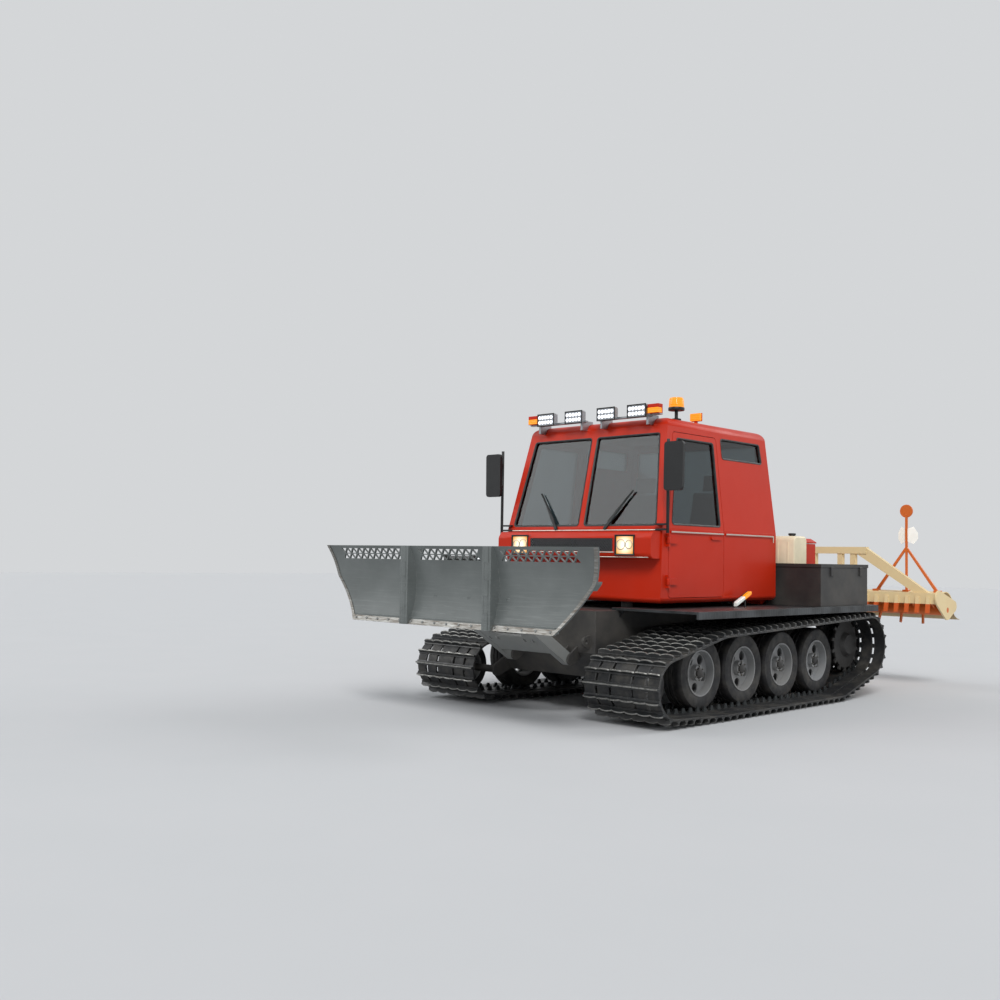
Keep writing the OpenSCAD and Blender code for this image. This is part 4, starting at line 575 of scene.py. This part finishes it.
def makeTrack(name, node, side):
    t = track
    outside = t["clear"] + t["thick"]
    runs = beltRuns(t["wheels"], outside)
    around = sum(r[1] for r in runs)
    count = round(around / t["pitch"])
    stops, done = [], 0
    for kind, length, wheel, turn in runs:
        arc = math.degrees(length / (wheel[2] + outside))
        parts = max(1, round(arc / t["arcStep"] if kind == "arc" else length / t["straightStep"]))
        stops += [done + length * i / parts for i in range(parts)]
        done += length
    spots = [onBelt(runs, outside, s) for s in stops]
    work = bmesh.new()
    thick, corner = t["thick"], t["beltCorner"]
    for low, high in t["belts"]:
        edge = ((low, thick), (low, corner), (low + corner, 0),
                (high - corner, 0), (high, corner), (high, thick))
        sections = [[fromBelt(side, spot, x, 0, -drop) for x, drop in edge] for spot in spots]
        addLoft(work, sections, closedRing=True)
    belts = addPiece(name + "Belts", work, trackRubber)
    bars, horns, crests = bmesh.new(), bmesh.new(), bmesh.new()
    steps = t["scallopSteps"] * t["scallops"]
    for k in range(count):
        spot = onBelt(runs, outside, around * k / count)
        rows, crown = [], []
        for i, x in enumerate(stepsFrom(t["inner"], t["outer"], steps)):
            wave = abs(math.sin(math.pi * t["scallops"] * i / steps))
            top = t["barHigh"] - t["scallopDeep"] * (1 - wave ** t["scallopRound"])
            flank = t["barFoot"] + [(u, top + v) for u, v in t["barTop"]]
            cover = [(u, top + v) for u, v in t["crest"]]
            rows.append([fromBelt(side, spot, x, u, v) for u, v in bothFlanks(flank)])
            crown.append([fromBelt(side, spot, x, u, v) for u, v in bothFlanks(cover)])
        addLoft(bars, rows)
        addLoft(crests, crown)
        for middle in (t["middle"] - t["hornOff"], t["middle"] + t["hornOff"]):
            ends = []
            for (wide, long), out in ((t["hornFoot"], -thick), (t["hornTip"], -thick - t["hornHigh"])):
                outline = ((-wide, -long), (wide, -long), (wide, long), (-wide, long))
                ends.append([fromBelt(side, spot, middle + x, u, out) for x, u in outline])
            addLoft(horns, ends)
    addPiece(name + "Bars", bars, grouserBar)
    addPiece(name + "Crests", crests, crestAlloy)
    addPiece(name + "Horns", horns, engineIron)
    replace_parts(belts, node)
    return count


barCount = makeTrack("trackLeft", "track_left", 1)
makeTrack("trackRight", "track_right", -1)
print("tracks made:", barCount, "bars on each")

# Road wheels: solid tyres with two grooves, dished discs with bolted hub caps. A place is y, z and the radii
# of tyre and rim. Bead, shoulder and groove are (in from the radius, in from the side or off the middle).
roadWheels = {
    "places": [(300 + 690 * k, 393.3, 330, 205) for k in range(4)] + [(-470, 330, 235, 145)],
    "middle": 1060, "half": 105, "bead": [(3, 14), (-10, 9)], "shoulder": [(22, 6), (6, 22), (0, 38)],
    "groove": [(0, 32), (9, 28), (9, 18), (0, 14)],
    "cap": [(0.1, 96), (34, 94), (44, 88), (50, 74), (50, 20)],
    "bolts": 6, "boltRing": 60, "boltOut": 76, "boltSize": (11, 14)}


def makeWheels():
    w = roadWheels
    tyres, caps, bolts = bmesh.new(), bmesh.new(), bmesh.new()
    half = w["half"]
    for side in (-1, 1):
        for y, z, outer, rim in w["places"]:
            flank = [(rim - inward, half - o) for inward, o in w["bead"]] + [((rim + outer) / 2, half)]
            flank += [(outer - inward, half - o) for inward, o in w["shoulder"]]
            flank += [(outer - inward, o) for inward, o in w["groove"]]
            profile = [(r, -o) for r, o in flank] + flank[::-1]
            hub = at(side * w["middle"], y, z)
            addTurned(tyres, profile, hub, "X", 72)
            addTurned(caps, w["cap"], hub, "X", 40, side)
            for k in range(w["bolts"]):
                a = 2 * math.pi * (k + 0.5) / w["bolts"]
                place = at(side * (w["middle"] + w["boltOut"]), y + w["boltRing"] * math.cos(a),
                           z + w["boltRing"] * math.sin(a))
                addBolt(bolts, place, (side, 0, 0), *w["boltSize"])
    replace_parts(addPiece("wheelTyres", tyres, tyreRubber), "tyres")
    addPiece("hubCaps", caps, barrelEnamel)
    addPiece("hubBolts", bolts, wornSteel)


makeWheels()
print("wheels made")

# Blade: bolted cutting edges and bright wing edges. wingEnd is (z, x) up the wing's outer end.
blade = {
    "faceY": -1640, "radius": 700, "middleZ": 1135, "low": 800, "top": 1470, "centreHalf": 470,
    "wingStart": 530, "wingEnd": [(795, 1200), (1195, 1544.4), (1475, 1620)],
    "edgeFrom": 2, "edgeHigh": 46, "edgeThick": 8, "edgeGap": 1, "skinSink": 0.2,
    "tipWide": 34, "tipThick": 6, "tipGap": 0.5, "tipTrim": (1, 2),
    "boltStep": 148, "boltUp": 25, "boltIn": (45, 30), "boltSize": (13, 8)}


def bladeFace(x, z, proud):
    # a place on the mouldboard's round face, standing proud of it
    bow = math.sqrt((blade["radius"] - proud) ** 2 - (z - blade["middleZ"]) ** 2)
    return at(x, blade["faceY"] - blade["radius"] + bow, z)


def wingEnd(z):
    for (z0, x0), (z1, x1) in zip(blade["wingEnd"], blade["wingEnd"][1:]):
        if z <= z1:
            return x0 + (x1 - x0) * (z - z0) / (z1 - z0)
    return blade["wingEnd"][-1][1]


def addSkin(work, side, start, end, heights, proud):
    rows = []
    for z in heights:
        x0, x1, sink = side * start(z), side * end(z), blade["skinSink"]
        outline = ((x0, proud), (x1, proud), (x1, sink), (x0, sink))
        rows.append([bladeFace(x, z, depth) for x, depth in outline])
    addLoft(work, rows)


def makeBlade():
    b = blade
    low, high = b["low"] + b["edgeFrom"], b["low"] + b["edgeHigh"]
    parts = [("blade_centre", 1, lambda z: -b["centreHalf"], lambda z: b["centreHalf"])]
    for body, side in (("wing_left", 1), ("wing_right", -1)):
        parts.append((body, side, lambda z: b["wingStart"], lambda z: wingEnd(z) - b["edgeGap"]))
    for body, side, start, end in parts:
        work = bmesh.new()
        addSkin(work, side, start, end, stepsFrom(low, high, 6), b["edgeThick"])
        if body != "blade_centre":
            tall = stepsFrom(low + b["tipTrim"][0], b["top"] - b["tipTrim"][1], 24)
            addSkin(work, side, lambda z: wingEnd(z) - b["tipWide"], lambda z: wingEnd(z) - b["tipGap"], tall,
                    b["tipThick"])
        addPiece(body + "Edge", work, wornSteel, body)
        bolts = bmesh.new()
        x, z = start(0) + b["boltIn"][0], b["low"] + b["boltUp"]
        while x < end(b["low"]) - b["boltIn"][1]:
            place = bladeFace(side * x, z, b["edgeThick"])
            normal = bladeFace(side * x, z, b["edgeThick"] + 10) - place
            addBolt(bolts, place, normal, *b["boltSize"])
            x += b["boltStep"]
        addPiece(body + "Bolts", bolts, linkEnamel, body)


makeBlade()
print("blade dressed")

# Cab glazing: black rubber profiles round every pane. A wall runs between two rounded corners.
cab = {"half": 944, "roofHalf": 838, "sill": 1662, "roof": 2690, "rake": 215, "rear": 1930, "rearLean": 40,
       "lowR": 50, "topR": 90, "doorTop": 2560, "pillarFoot": 90, "pillarShare": 0.85, "paneCorner": 30}
roofEdge = (cab["roof"] - cab["topR"], cab["topR"])
sillEdge = (cab["sill"], cab["lowR"])
sideCorners = [(cab["half"] - cab["lowR"], *sillEdge), (cab["roofHalf"] - cab["topR"], *roofEdge)]
frontCorners = [(cab["rake"] + cab["topR"], *roofEdge), (cab["lowR"], *sillEdge)]
rearCorners = [(cab["rear"] - cab["lowR"], *sillEdge),
               (cab["rear"] - cab["rearLean"] - cab["topR"], *roofEdge)]


def wallLine(corners, z, depth):
    # level place of a straight wall at a height, sunk by depth
    turn = tangentTurn(corners[0], corners[1])
    u0, u1 = (c[0] + (c[2] - depth) * math.cos(turn) for c in corners)
    z0, z1 = (c[1] + (c[2] - depth) * math.sin(turn) for c in corners)
    return u0 + (u1 - u0) * (z - z0) / (z1 - z0)


def frontWall(side, p, depth):
    return at(side * p[0], wallLine(frontCorners, p[1], depth), p[1])


def sideWall(side, p, depth):
    return at(side * wallLine(sideCorners, p[1], depth), p[0], p[1])


def rearWall(side, p, depth):
    return at(p[0], wallLine(rearCorners, p[1], depth), p[1])


def roundedLoop(corners, stepDegrees=15):
    points = []
    for k, c in enumerate(corners):
        start = tangentTurn(corners[k - 1], c)
        sweep = (tangentTurn(c, corners[(k + 1) % len(corners)]) - start) % (2 * math.pi)
        for a in stepsFrom(start, start + sweep, max(1, round(math.degrees(sweep) / stepDegrees))):
            points.append((c[0] + c[2] * math.cos(a), c[1] + c[2] * math.sin(a)))
    return points


def pillarY(z):
    share = (z - cab["sill"]) / (cab["doorTop"] - cab["sill"])
    return cab["pillarFoot"] + cab["pillarShare"] * cab["rake"] * share


# Middles of the panes' round corners, along the wall and up
doorTop = cab["doorTop"]
paneCorners = {
    "screen": [(62, 1722), (839, 1722), (738, 2515), (62, 2515)],
    "door": [(pillarY(1702) + 86, 1732), (899, 1732),
             (899, doorTop - 86), (pillarY(doorTop) + 86, doorTop - 86)],
    "quarter": [(1090, doorTop - 170), (1750, doorTop - 170), (1735, doorTop - 30), (1090, doorTop - 30)],
    "rear": [(-754, 1760), (754, 1760), (708, doorTop - 30), (-708, doorTop - 30)]}
gasket = {"wide": 13, "proud": 4, "deep": 12, "lip": 5, "over": (4, 2)}


def addGasket(work, pane, wall, side):
    # the profile is a low rounded lip: (inward from the pane's edge, depth in the wall)
    g = gasket
    section = ((-g["over"][0], 1), (-g["over"][1], -g["proud"]), (g["lip"], -g["proud"]), (g["wide"], 1),
               (g["wide"], g["deep"]), (-g["over"][0], g["deep"]))
    loop = roundedLoop([(*c, cab["paneCorner"]) for c in paneCorners[pane]])
    middle = Vector((sum(p[0] for p in loop), sum(p[1] for p in loop))) / len(loop)
    sections = []
    for k, p in enumerate(loop):
        a, b = loop[k - 1], loop[(k + 1) % len(loop)]
        ahead = Vector((b[0] - a[0], b[1] - a[1])).normalized()
        inward = Vector((-ahead.y, ahead.x))
        if inward.dot(middle - Vector(p)) < 0:
            inward = -inward
        sections.append([wall(side, Vector(p) + inward * u, depth) for u, depth in section])
    addLoft(work, sections, closedRing=True)


def makeGaskets():
    fixed = bmesh.new()
    for side, body in ((-1, "door_right"), (1, "door_left")):
        addGasket(fixed, "screen", frontWall, side)
        addGasket(fixed, "quarter", sideWall, side)
        leaf = bmesh.new()
        addGasket(leaf, "door", sideWall, side)
        addPiece(body + "Gasket", leaf, sealRubber, body)
    addGasket(fixed, "rear", rearWall, 1)
    addPiece("cabGaskets", fixed, sealRubber)


makeGaskets()
print("cab glazed")

# Lamps: headlamp bezels with projector rims, roof work lamps with rows of light cells. A lamp's rim is its
# width and the reach of its front and back from the lamp's face.
lamps = {
    "headX": 640, "headZ": 1512, "headHalf": (111, 94), "headRim": (16, -6, 6), "panelY": -150,
    "projectors": ((-42, 44), (48, 36)), "projectorUp": 6, "projectorIn": 2,
    "roofX": (200, 560), "roofY": 110, "roofZ": 2750, "roofHalf": (108, 62), "roofRim": (10, -8, 4),
    "rimEase": (3, 0.25, 5), "bowlProud": 0.2, "cellProud": 0.6,
    "cells": (5, 2), "cellStep": (38, 48), "bowl": [(17.5, 6), (15, 5), (9, 0.5), (4, 0.2)],
    "cell": [(8.1, 0), (7.56, 3.2), (4.68, 5.4), (0.18, 6)]}


def addFrame(work, centre, half, face, rim):
    # rectangular ring in the XZ plane with mitred corners, facing -Y
    width, y0, y1 = rim[0], face + rim[1], face + rim[2]
    outerEase, ridgeIn, innerEase = lamps["rimEase"]
    sections = []
    for signX, signZ in ((-1, -1), (1, -1), (1, 1), (-1, 1)):
        outer = (centre[0] + signX * half[0], centre[1] + signZ * half[1])
        inner = (outer[0] - signX * width, outer[1] - signZ * width)
        ridge = [o + (i - o) * ridgeIn for o, i in zip(outer, inner)]
        profile = ((outer, y1), (outer, y0 + outerEase), (ridge, y0), (inner, y0 + innerEase), (inner, y1))
        sections.append([at(place[0], y, place[1]) for place, y in profile])
    addLoft(work, sections, closedRing=True)


def makeLamps():
    p = lamps
    bezels, bowls, cells, rims = bmesh.new(), bmesh.new(), bmesh.new(), bmesh.new()
    columns, rows = p["cells"]
    stepX, stepZ = p["cellStep"]
    panel, roof = p["panelY"], p["roofY"]
    for side in (-1, 1):
        addFrame(bezels, (side * p["headX"], p["headZ"]), p["headHalf"], panel, p["headRim"])
        for x, radius in p["projectors"]:
            rim = [(radius + 5, 0), (radius + 5, 5), (radius, 6), (radius - 3, 1)]
            place = at(side * (p["headX"] + x), panel + p["projectorIn"], p["headZ"] + p["projectorUp"])
            addTurned(rims, rim, place, "Y", 40, -1)
        for x in p["roofX"]:
            addFrame(bezels, (side * x, p["roofZ"]), p["roofHalf"], roof, p["roofRim"])
            for i in range(columns):
                for j in range(rows):
                    cellX = side * x + (i - (columns - 1) / 2) * stepX
                    cellZ = p["roofZ"] + (j - (rows - 1) / 2) * stepZ
                    addTurned(bowls, p["bowl"], at(cellX, roof - p["bowlProud"], cellZ), "Y", 20, -1)
                    addTurned(cells, p["cell"], at(cellX, roof - p["cellProud"], cellZ), "Y", 14, -1)
    addPiece("lampBezels", bezels, blackPlastic)
    addPiece("lampRims", rims, beadAlloy)
    addPiece("lampBowls", bowls, ledLens)
    addPiece("lampCells", cells, ledLens)


makeLamps()
print("lamps dressed")

# Amber beacon on its post, and the roof's two pairs of marker lamps: on the lamp bar's ends and behind them
beacon = {"place": (728, 500), "roof": 2690, "postHigh": 90,
          "dome": [(71.5, 29), (71.5, 44), (69.5, 46), (69.5, 50), (71, 52), (68, 92), (65, 112), (58, 120),
                   (40, 123), (0.1, 123.5)]}
markers = {"half": 60, "lensHalf": (58, 56), "hood": 34, "floor": 4, "back": 10, "corner": 3,
           "barX": 740, "barY": (114, 186), "barZ": (2716.4, 2802),
           "footX": (690, 800), "footY": (150.4, 189.6), "footZ": (12, 1),
           "rearX": 688, "rearY": 880, "rearZ": (2690.4, 2720, 2800), "rearDeep": (20, 13, 20),
           "stem": (12, 14)}


def makeBeacon():
    b, m = beacon, markers
    up = b["postHigh"]
    post, dome = bmesh.new(), bmesh.new()
    profile = [(45, 0.4), (45, 10), (41, 14), (16, 14), (16, up), (74, up), (76, up + 4), (76, up + 22),
               (73, up + 29), (40, up + 29)]
    addTurned(post, profile, at(*b["place"], b["roof"]), "Z", 48)
    addTurned(dome, b["dome"], at(*b["place"], b["roof"] + up), "Z", 56)
    lenses, hoods, feet = bmesh.new(), bmesh.new(), bmesh.new()
    half, floor, hood, back = m["half"], m["floor"], m["hood"], m["back"]
    for side in (-1, 1):
        x, (y0, y1), (z0, z1) = side * m["barX"], m["barY"], m["barZ"]
        reach = m["lensHalf"][0]
        addBox(lenses, at(x - reach, y0, z0 + floor), at(x + reach, y1 - back, z1 - hood))
        addBox(hoods, at(x - half, y0 + floor, z1 - hood), at(x + half, y1, z1))
        addBox(hoods, at(x - half, y0 + floor, z0), at(x + half, y1, z0 + floor))
        addBox(hoods, at(x - half, y1 - back, z0 + floor), at(x + half, y1, z1 - hood))
    for side in (-1, 1):
        x, y, (roof, z0, z1) = side * m["rearX"], m["rearY"], m["rearZ"]
        front, seam, rear = m["rearDeep"]
        reach, (wide, deep) = m["lensHalf"][1], m["stem"]
        addBox(lenses, at(x - reach, y - front, z0 + floor), at(x + reach, y + seam, z1 - floor))
        addBox(hoods, at(x - half, y + seam, z0), at(x + half, y + rear, z1))
        addBox(hoods, at(x - wide, y - deep, roof), at(x + wide, y + deep, z0 + floor))
        (x0, x1), (y0, y1), bar = sorted(side * end for end in m["footX"]), m["footY"], m["barZ"][0]
        addBox(feet, at(x0, y0, bar - m["footZ"][0]), at(x1, y1, bar + m["footZ"][1]))
    bracket = addPiece("markerFeet", feet, lampAlloy)
    addPiece("beaconBase", post, blackPlastic)
    cover = addPiece("beaconCap", dome, amberLens)
    lit = addPiece("markerLenses", lenses, amberLens)
    shell = addPiece("markerHoods", hoods, cabEnamel)
    for piece in (lit, shell, bracket):
        edge = piece.modifiers.new("corners", "BEVEL")
        edge.width, edge.segments = m["corner"] * millimetre, 2
    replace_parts(cover, "beacon")


makeBeacon()
print("beacon and markers made")

# Trim: pale aluminium beads along the sill and the front panel, mirror glass and the grille's wire mesh.
# A bead across the panel is half its length, y, z and its radius.
trim = {"sillX": 954, "sillZ": 1637, "doorY": (122, 963), "rearY": (1007, 1868), "endDrop": (5, 60),
        "section": [(0, -7), (2.5, -5), (3, 0), (2.5, 5), (0, 7)],
        "beads": [(520, -151.5, 1447, 5), (890, -132.5, 1405, 5), (900, -7, 1650, 7)],
        "grilleHalf": 502, "grilleZ": (1456, 1572), "meshY": -147, "meshStep": 30, "wire": 2.2,
        "mirrorX": (1022, 1172), "mirrorY": (-40.2, -38), "mirrorZ": (2004, 2410)}


def makeSillBeads(side):
    t = trim
    x, z = t["sillX"], t["sillZ"]
    door = bmesh.new()
    addLoft(door, [[at(side * (x + o), y, z + h) for o, h in t["section"]] for y in t["doorY"]])
    leaf = "door_left" if side > 0 else "door_right"
    addPiece("doorBead" + sideName(side), door, beadAlloy, leaf)
    sill = bmesh.new()
    addLoft(sill, [[at(side * (x + o), y, z + h) for o, h in t["section"]] for y in t["rearY"]])
    high, low = z + t["endDrop"][0], z - t["endDrop"][1]
    end = t["rearY"][1]
    addLoft(sill, [[at(side * (x + o), end + h, level) for o, h in t["section"]] for level in (high, low)])
    addPiece("sillBead" + sideName(side), sill, beadAlloy)


def makeMirror(side):
    glass = bmesh.new()
    x0, x1 = sorted(side * x for x in trim["mirrorX"])
    (y0, y1), (z0, z1) = trim["mirrorY"], trim["mirrorZ"]
    addBox(glass, at(x0, y0, z0), at(x1, y1, z1))
    addPiece("mirrorGlass" + sideName(side), glass, mirrorGlass)


def makeGrille():
    # wires lean both ways and are cut off at the grille's ends
    t = trim
    mesh = bmesh.new()
    half, (z0, z1) = t["grilleHalf"], t["grilleZ"]
    reach = z1 - z0
    for k in range(-5, int(2 * half / t["meshStep"]) + 1):
        x = -half + k * t["meshStep"]
        left, right = max(x, -half), min(x + reach, half)
        for lean in (1, -1):
            za, zb = z0 + left - x, z0 + right - x
            if lean < 0:
                za, zb = z0 + z1 - za, z0 + z1 - zb
            addRod(mesh, at(left, t["meshY"] + lean, za), at(right, t["meshY"] + lean, zb), t["wire"], 5)
    addPiece("grilleMesh", mesh, meshSteel)


def makeTrim():
    for side in (-1, 1):
        makeSillBeads(side)
        makeMirror(side)
    beads = bmesh.new()
    for half, y, z, radius in trim["beads"]:
        addRod(beads, at(-half, y, z), at(half, y, z), radius, 10)
    addPiece("panelBeads", beads, beadAlloy)
    makeGrille()


makeTrim()
print("trim made")

# Washer tank behind the cab, with two straps and a screw cap. walls: distance from the tank's side and how
# much narrower the outline is there.
tank = {"x": (812, 1078), "y": (2060, 2320), "z": (1374.4, 1652), "corner": 48,
        "walls": ((0, 16), (6, 6), (18, 0)), "straps": (80, 190), "strap": (9, 3, 60), "cap": (980, 2190),
        "capProfile": [(30, -6), (30, 8), (38, 10), (38, 26), (35, 30), (0.1, 31)]}


def makeTank():
    t = tank
    (x0, x1), (y0, y1), (low, high) = t["x"], t["y"], t["z"]
    r = t["corner"]
    levels = [(x0 + inset, shrink) for inset, shrink in t["walls"]]
    levels += [(x1 - inset, shrink) for inset, shrink in t["walls"][::-1]]
    rows = []
    for x, shrink in levels:
        outline = []
        for cy, start in ((y1 - r, 0), (y0 + r, 90)):
            for a in stepsFrom(math.radians(start), math.radians(start + 90), 6):
                outline.append((cy + (r - shrink) * math.cos(a), high - r + (r - shrink) * math.sin(a)))
        outline += [(y0 + shrink, low), (y1 - shrink, low)]
        rows.append([at(x, y, z) for y, z in outline])
    shell, cap = bmesh.new(), bmesh.new()
    addLoft(shell, rows)
    half, proud, below = t["strap"]
    for x in t["straps"]:
        addBox(shell, at(x0 + x - half, y0 - proud, low), at(x0 + x + half, y1 + proud, high - below))
    addPiece("washerTank", shell, tankPlastic)
    addTurned(cap, t["capProfile"], at(*t["cap"], high), "Z", 32)
    addPiece("tankCap", cap, blackPlastic)


makeTank()

# Two-colour marker lamp that stands on the deck outside the door's swing. Parts are name, start and end
# as shares of its length, finish and slot; the back lies behind the lens.
edgeLamp = {
    "x": (1042, 1078), "foot": (1005, 979), "tip": (1260, 1086), "thick": 42,
    "round": (8, 0.6), "ends": (0.06, 0.75),
    "parts": (("edgeLampWhite", 0.0, 0.56, clearLens, "amber_lens"),
              ("edgeLampAmber", 0.56, 1.0, amberLens, "amber_lens"),
              ("edgeLampBack", -0.02, 1.02, blackPlastic, "black_plastic")),
    "backX": (-12, 2), "posts": (0.2, 0.8), "postIn": 6, "postRadius": 9, "deck": 954.3}


def makeEdgeLamp():
    e = edgeLamp
    (ya, za), (yb, zb) = e["foot"], e["tip"]
    taper, narrow = e["ends"]
    for name, a, b, finish, slotName in e["parts"]:
        low, high = e["x"]
        rounding, share = e["round"]
        if name == "edgeLampBack":
            low, high, rounding = low + e["backX"][0], low + e["backX"][1], 0
        rows = []
        for f, wide in ((a, narrow), (a + taper, 1.0), (b - taper, 1.0), (b, narrow)):
            y, z, half = ya + (yb - ya) * f, za + (zb - za) * f, e["thick"] / 2 * wide
            upper = [(low, half), (high - rounding, half), (high, half * share)]
            rows.append([at(x, y, z + up) for x, up in upper + [(x, -up) for x, up in upper[::-1]]])
        work = bmesh.new()
        addLoft(work, rows)
        addPiece(name, work, finish)
    posts = bmesh.new()
    x = e["x"][0] - e["postIn"]
    for f in e["posts"]:
        y, z = ya + (yb - ya) * f, za + (zb - za) * f
        addRod(posts, at(x, y, e["deck"]), at(x, y, z + 6), e["postRadius"], 12)
    addPiece("edgeLampPosts", posts, barrelEnamel)


makeEdgeLamp()
print("tank and edge lamp made")

# Seats: foam cushions in woven cloth, crowned, drawn in at their sides and sewn in channels.
# size is width, length and thickness, place is y and the height over the pan, channels run across.
padForm = {"cuts": 11, "drawnIn": 0.035, "roundFrom": 0.72, "crown": 0.22, "channelDeep": 6,
           "channelWide": 0.045, "edgeFrom": 0.8, "edgeIn": 0.2}
seats = {"x": (-430, 430), "padZ": 1375, "pads": {
    "seatCushion": {"size": (470, 560, 96), "place": (1180, 50.3), "lean": 0, "channels": (-0.45, 0.1, 0.6)},
    "seatBack": {"size": (450, 590, 90), "place": (1500, 420), "lean": math.degrees(math.atan2(500, 120)),
                 "channels": (-0.3, 0.25, 0.7)},
    "seatHead": {"size": (250, 165, 68), "place": (1589, 801), "lean": 80, "channels": ()}}}


def makePad(name, size, centre, lean, channels):
    # the pad lies in its own XY plane before it is leaned
    f = padForm
    work = bmesh.new()
    bmesh.ops.create_cube(work, size=2.0)
    bmesh.ops.subdivide_edges(work, edges=work.edges[:], cuts=f["cuts"], use_grid_fill=True)
    half = [s * millimetre / 2 for s in size]
    turn = Matrix.Rotation(math.radians(lean), 3, "X")
    for v in work.verts:
        u, w, t = v.co
        inside = max(abs(u), abs(w))
        side = 1 - f["drawnIn"] * (1 - w * w) * abs(u) ** 6
        front = 1 - f["drawnIn"] * (1 - u * u) * abs(w) ** 6
        rounding = 1 - 2 * max(0.0, inside - f["roundFrom"]) ** 2
        crown = 1 - f["crown"] + f["crown"] * (1 - u ** 4) * (1 - w ** 4)
        thick = t * half[2] * crown * rounding
        for c in channels if abs(t) > 0.99 else ():
            sewn = math.exp(-((w - c) / f["channelWide"]) ** 2)
            thick -= math.copysign(f["channelDeep"] * millimetre, t) * sewn
        edge = 1 - f["edgeIn"] * abs(t) ** 3 * max(0.0, inside - f["edgeFrom"])
        v.co = turn @ Vector((u * half[0] * side * edge, w * half[1] * front * edge, thick)) + centre
    piece = addPiece(name, work, cushionCloth, smooth=60)
    subdivision = piece.modifiers.new("soft", "SUBSURF")
    subdivision.levels = subdivision.render_levels = 1
    return piece


def makeSeats():
    made = []
    for k, x in enumerate(seats["x"]):
        for name, pad in seats["pads"].items():
            y, up = pad["place"]
            centre = at(x, y, seats["padZ"] + up)
            made.append(makePad(name + str(k), pad["size"], centre, pad["lean"], pad["channels"]))
    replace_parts(made[0], "seat_pads")


makeSeats()
print("seats made")

# Floor, light and surroundings. A sun is its place, power and the angle that it fills.
stage = {"floorHalf": 60, "floor": ("#C6C8CA", "#CACBCD"), "sky": ("#D4D7DA", "#D9DBDD"),
         "skyPower": (0.6, 0.95), "suns": {"key": ((5.5, -6.5, 7.5), 1.9, 22), "fill": ((-8, -5, 6), 0.7, 40),
                                           "rim": ((4, 9, 6), 0.8, 30)}}


def makeStage():
    s = stage
    mesh = bpy.data.meshes.new("floor")
    corners = [(x * s["floorHalf"], y * s["floorHalf"], 0) for x, y in ((-1, -1), (1, -1), (1, 1), (-1, 1))]
    mesh.from_pydata(corners, [], [(0, 1, 2, 3)])
    floor = bpy.data.objects.new("floor", mesh)
    bpy.context.scene.collection.objects.link(floor)
    # Matt studio paint, faintly uneven
    paint, add, shade, place = newMaterial("floorPaint", Roughness=0.9)
    cloud = add("TexNoise", {"Vector": place, "Scale": perMetre(900), "Detail": 3, "Roughness": 0.55})
    first, second = (toLinear(c) for c in s["floor"])
    shade({"Base Color": add("Mix", {0: cloud, 6: first, 7: second}, **colourMix)})
    mesh.materials.append(paint)
    world = bpy.data.worlds.new("studio")
    bpy.context.scene.world = world
    world.use_nodes = True
    tree = world.node_tree
    add = partial(addNode, tree)
    rays = add("LightPath").node.outputs
    seen = rays["Is Camera Ray"]
    for other in ("Is Glossy Ray", "Is Transmission Ray"):
        seen = add("Math", (seen, rays[other]), operation="MAXIMUM")
    first, second = (toLinear(c) for c in s["sky"])
    feed(tree, tree.nodes["Background"], {
        "Color": add("Mix", {0: seen, 6: first, 7: second}, **colourMix),
        "Strength": add("MapRange", (seen, 0, 1, *s["skyPower"]))})
    for name, (place, power, spread) in s["suns"].items():
        data = bpy.data.lights.new(name, "SUN")
        data.energy, data.angle = power, math.radians(spread)
        lamp = bpy.data.objects.new(name, data)
        bpy.context.scene.collection.objects.link(lamp)
        lamp.rotation_euler = (-Vector(place)).to_track_quat("-Z", "Y").to_euler()


makeStage()
print("stage made")
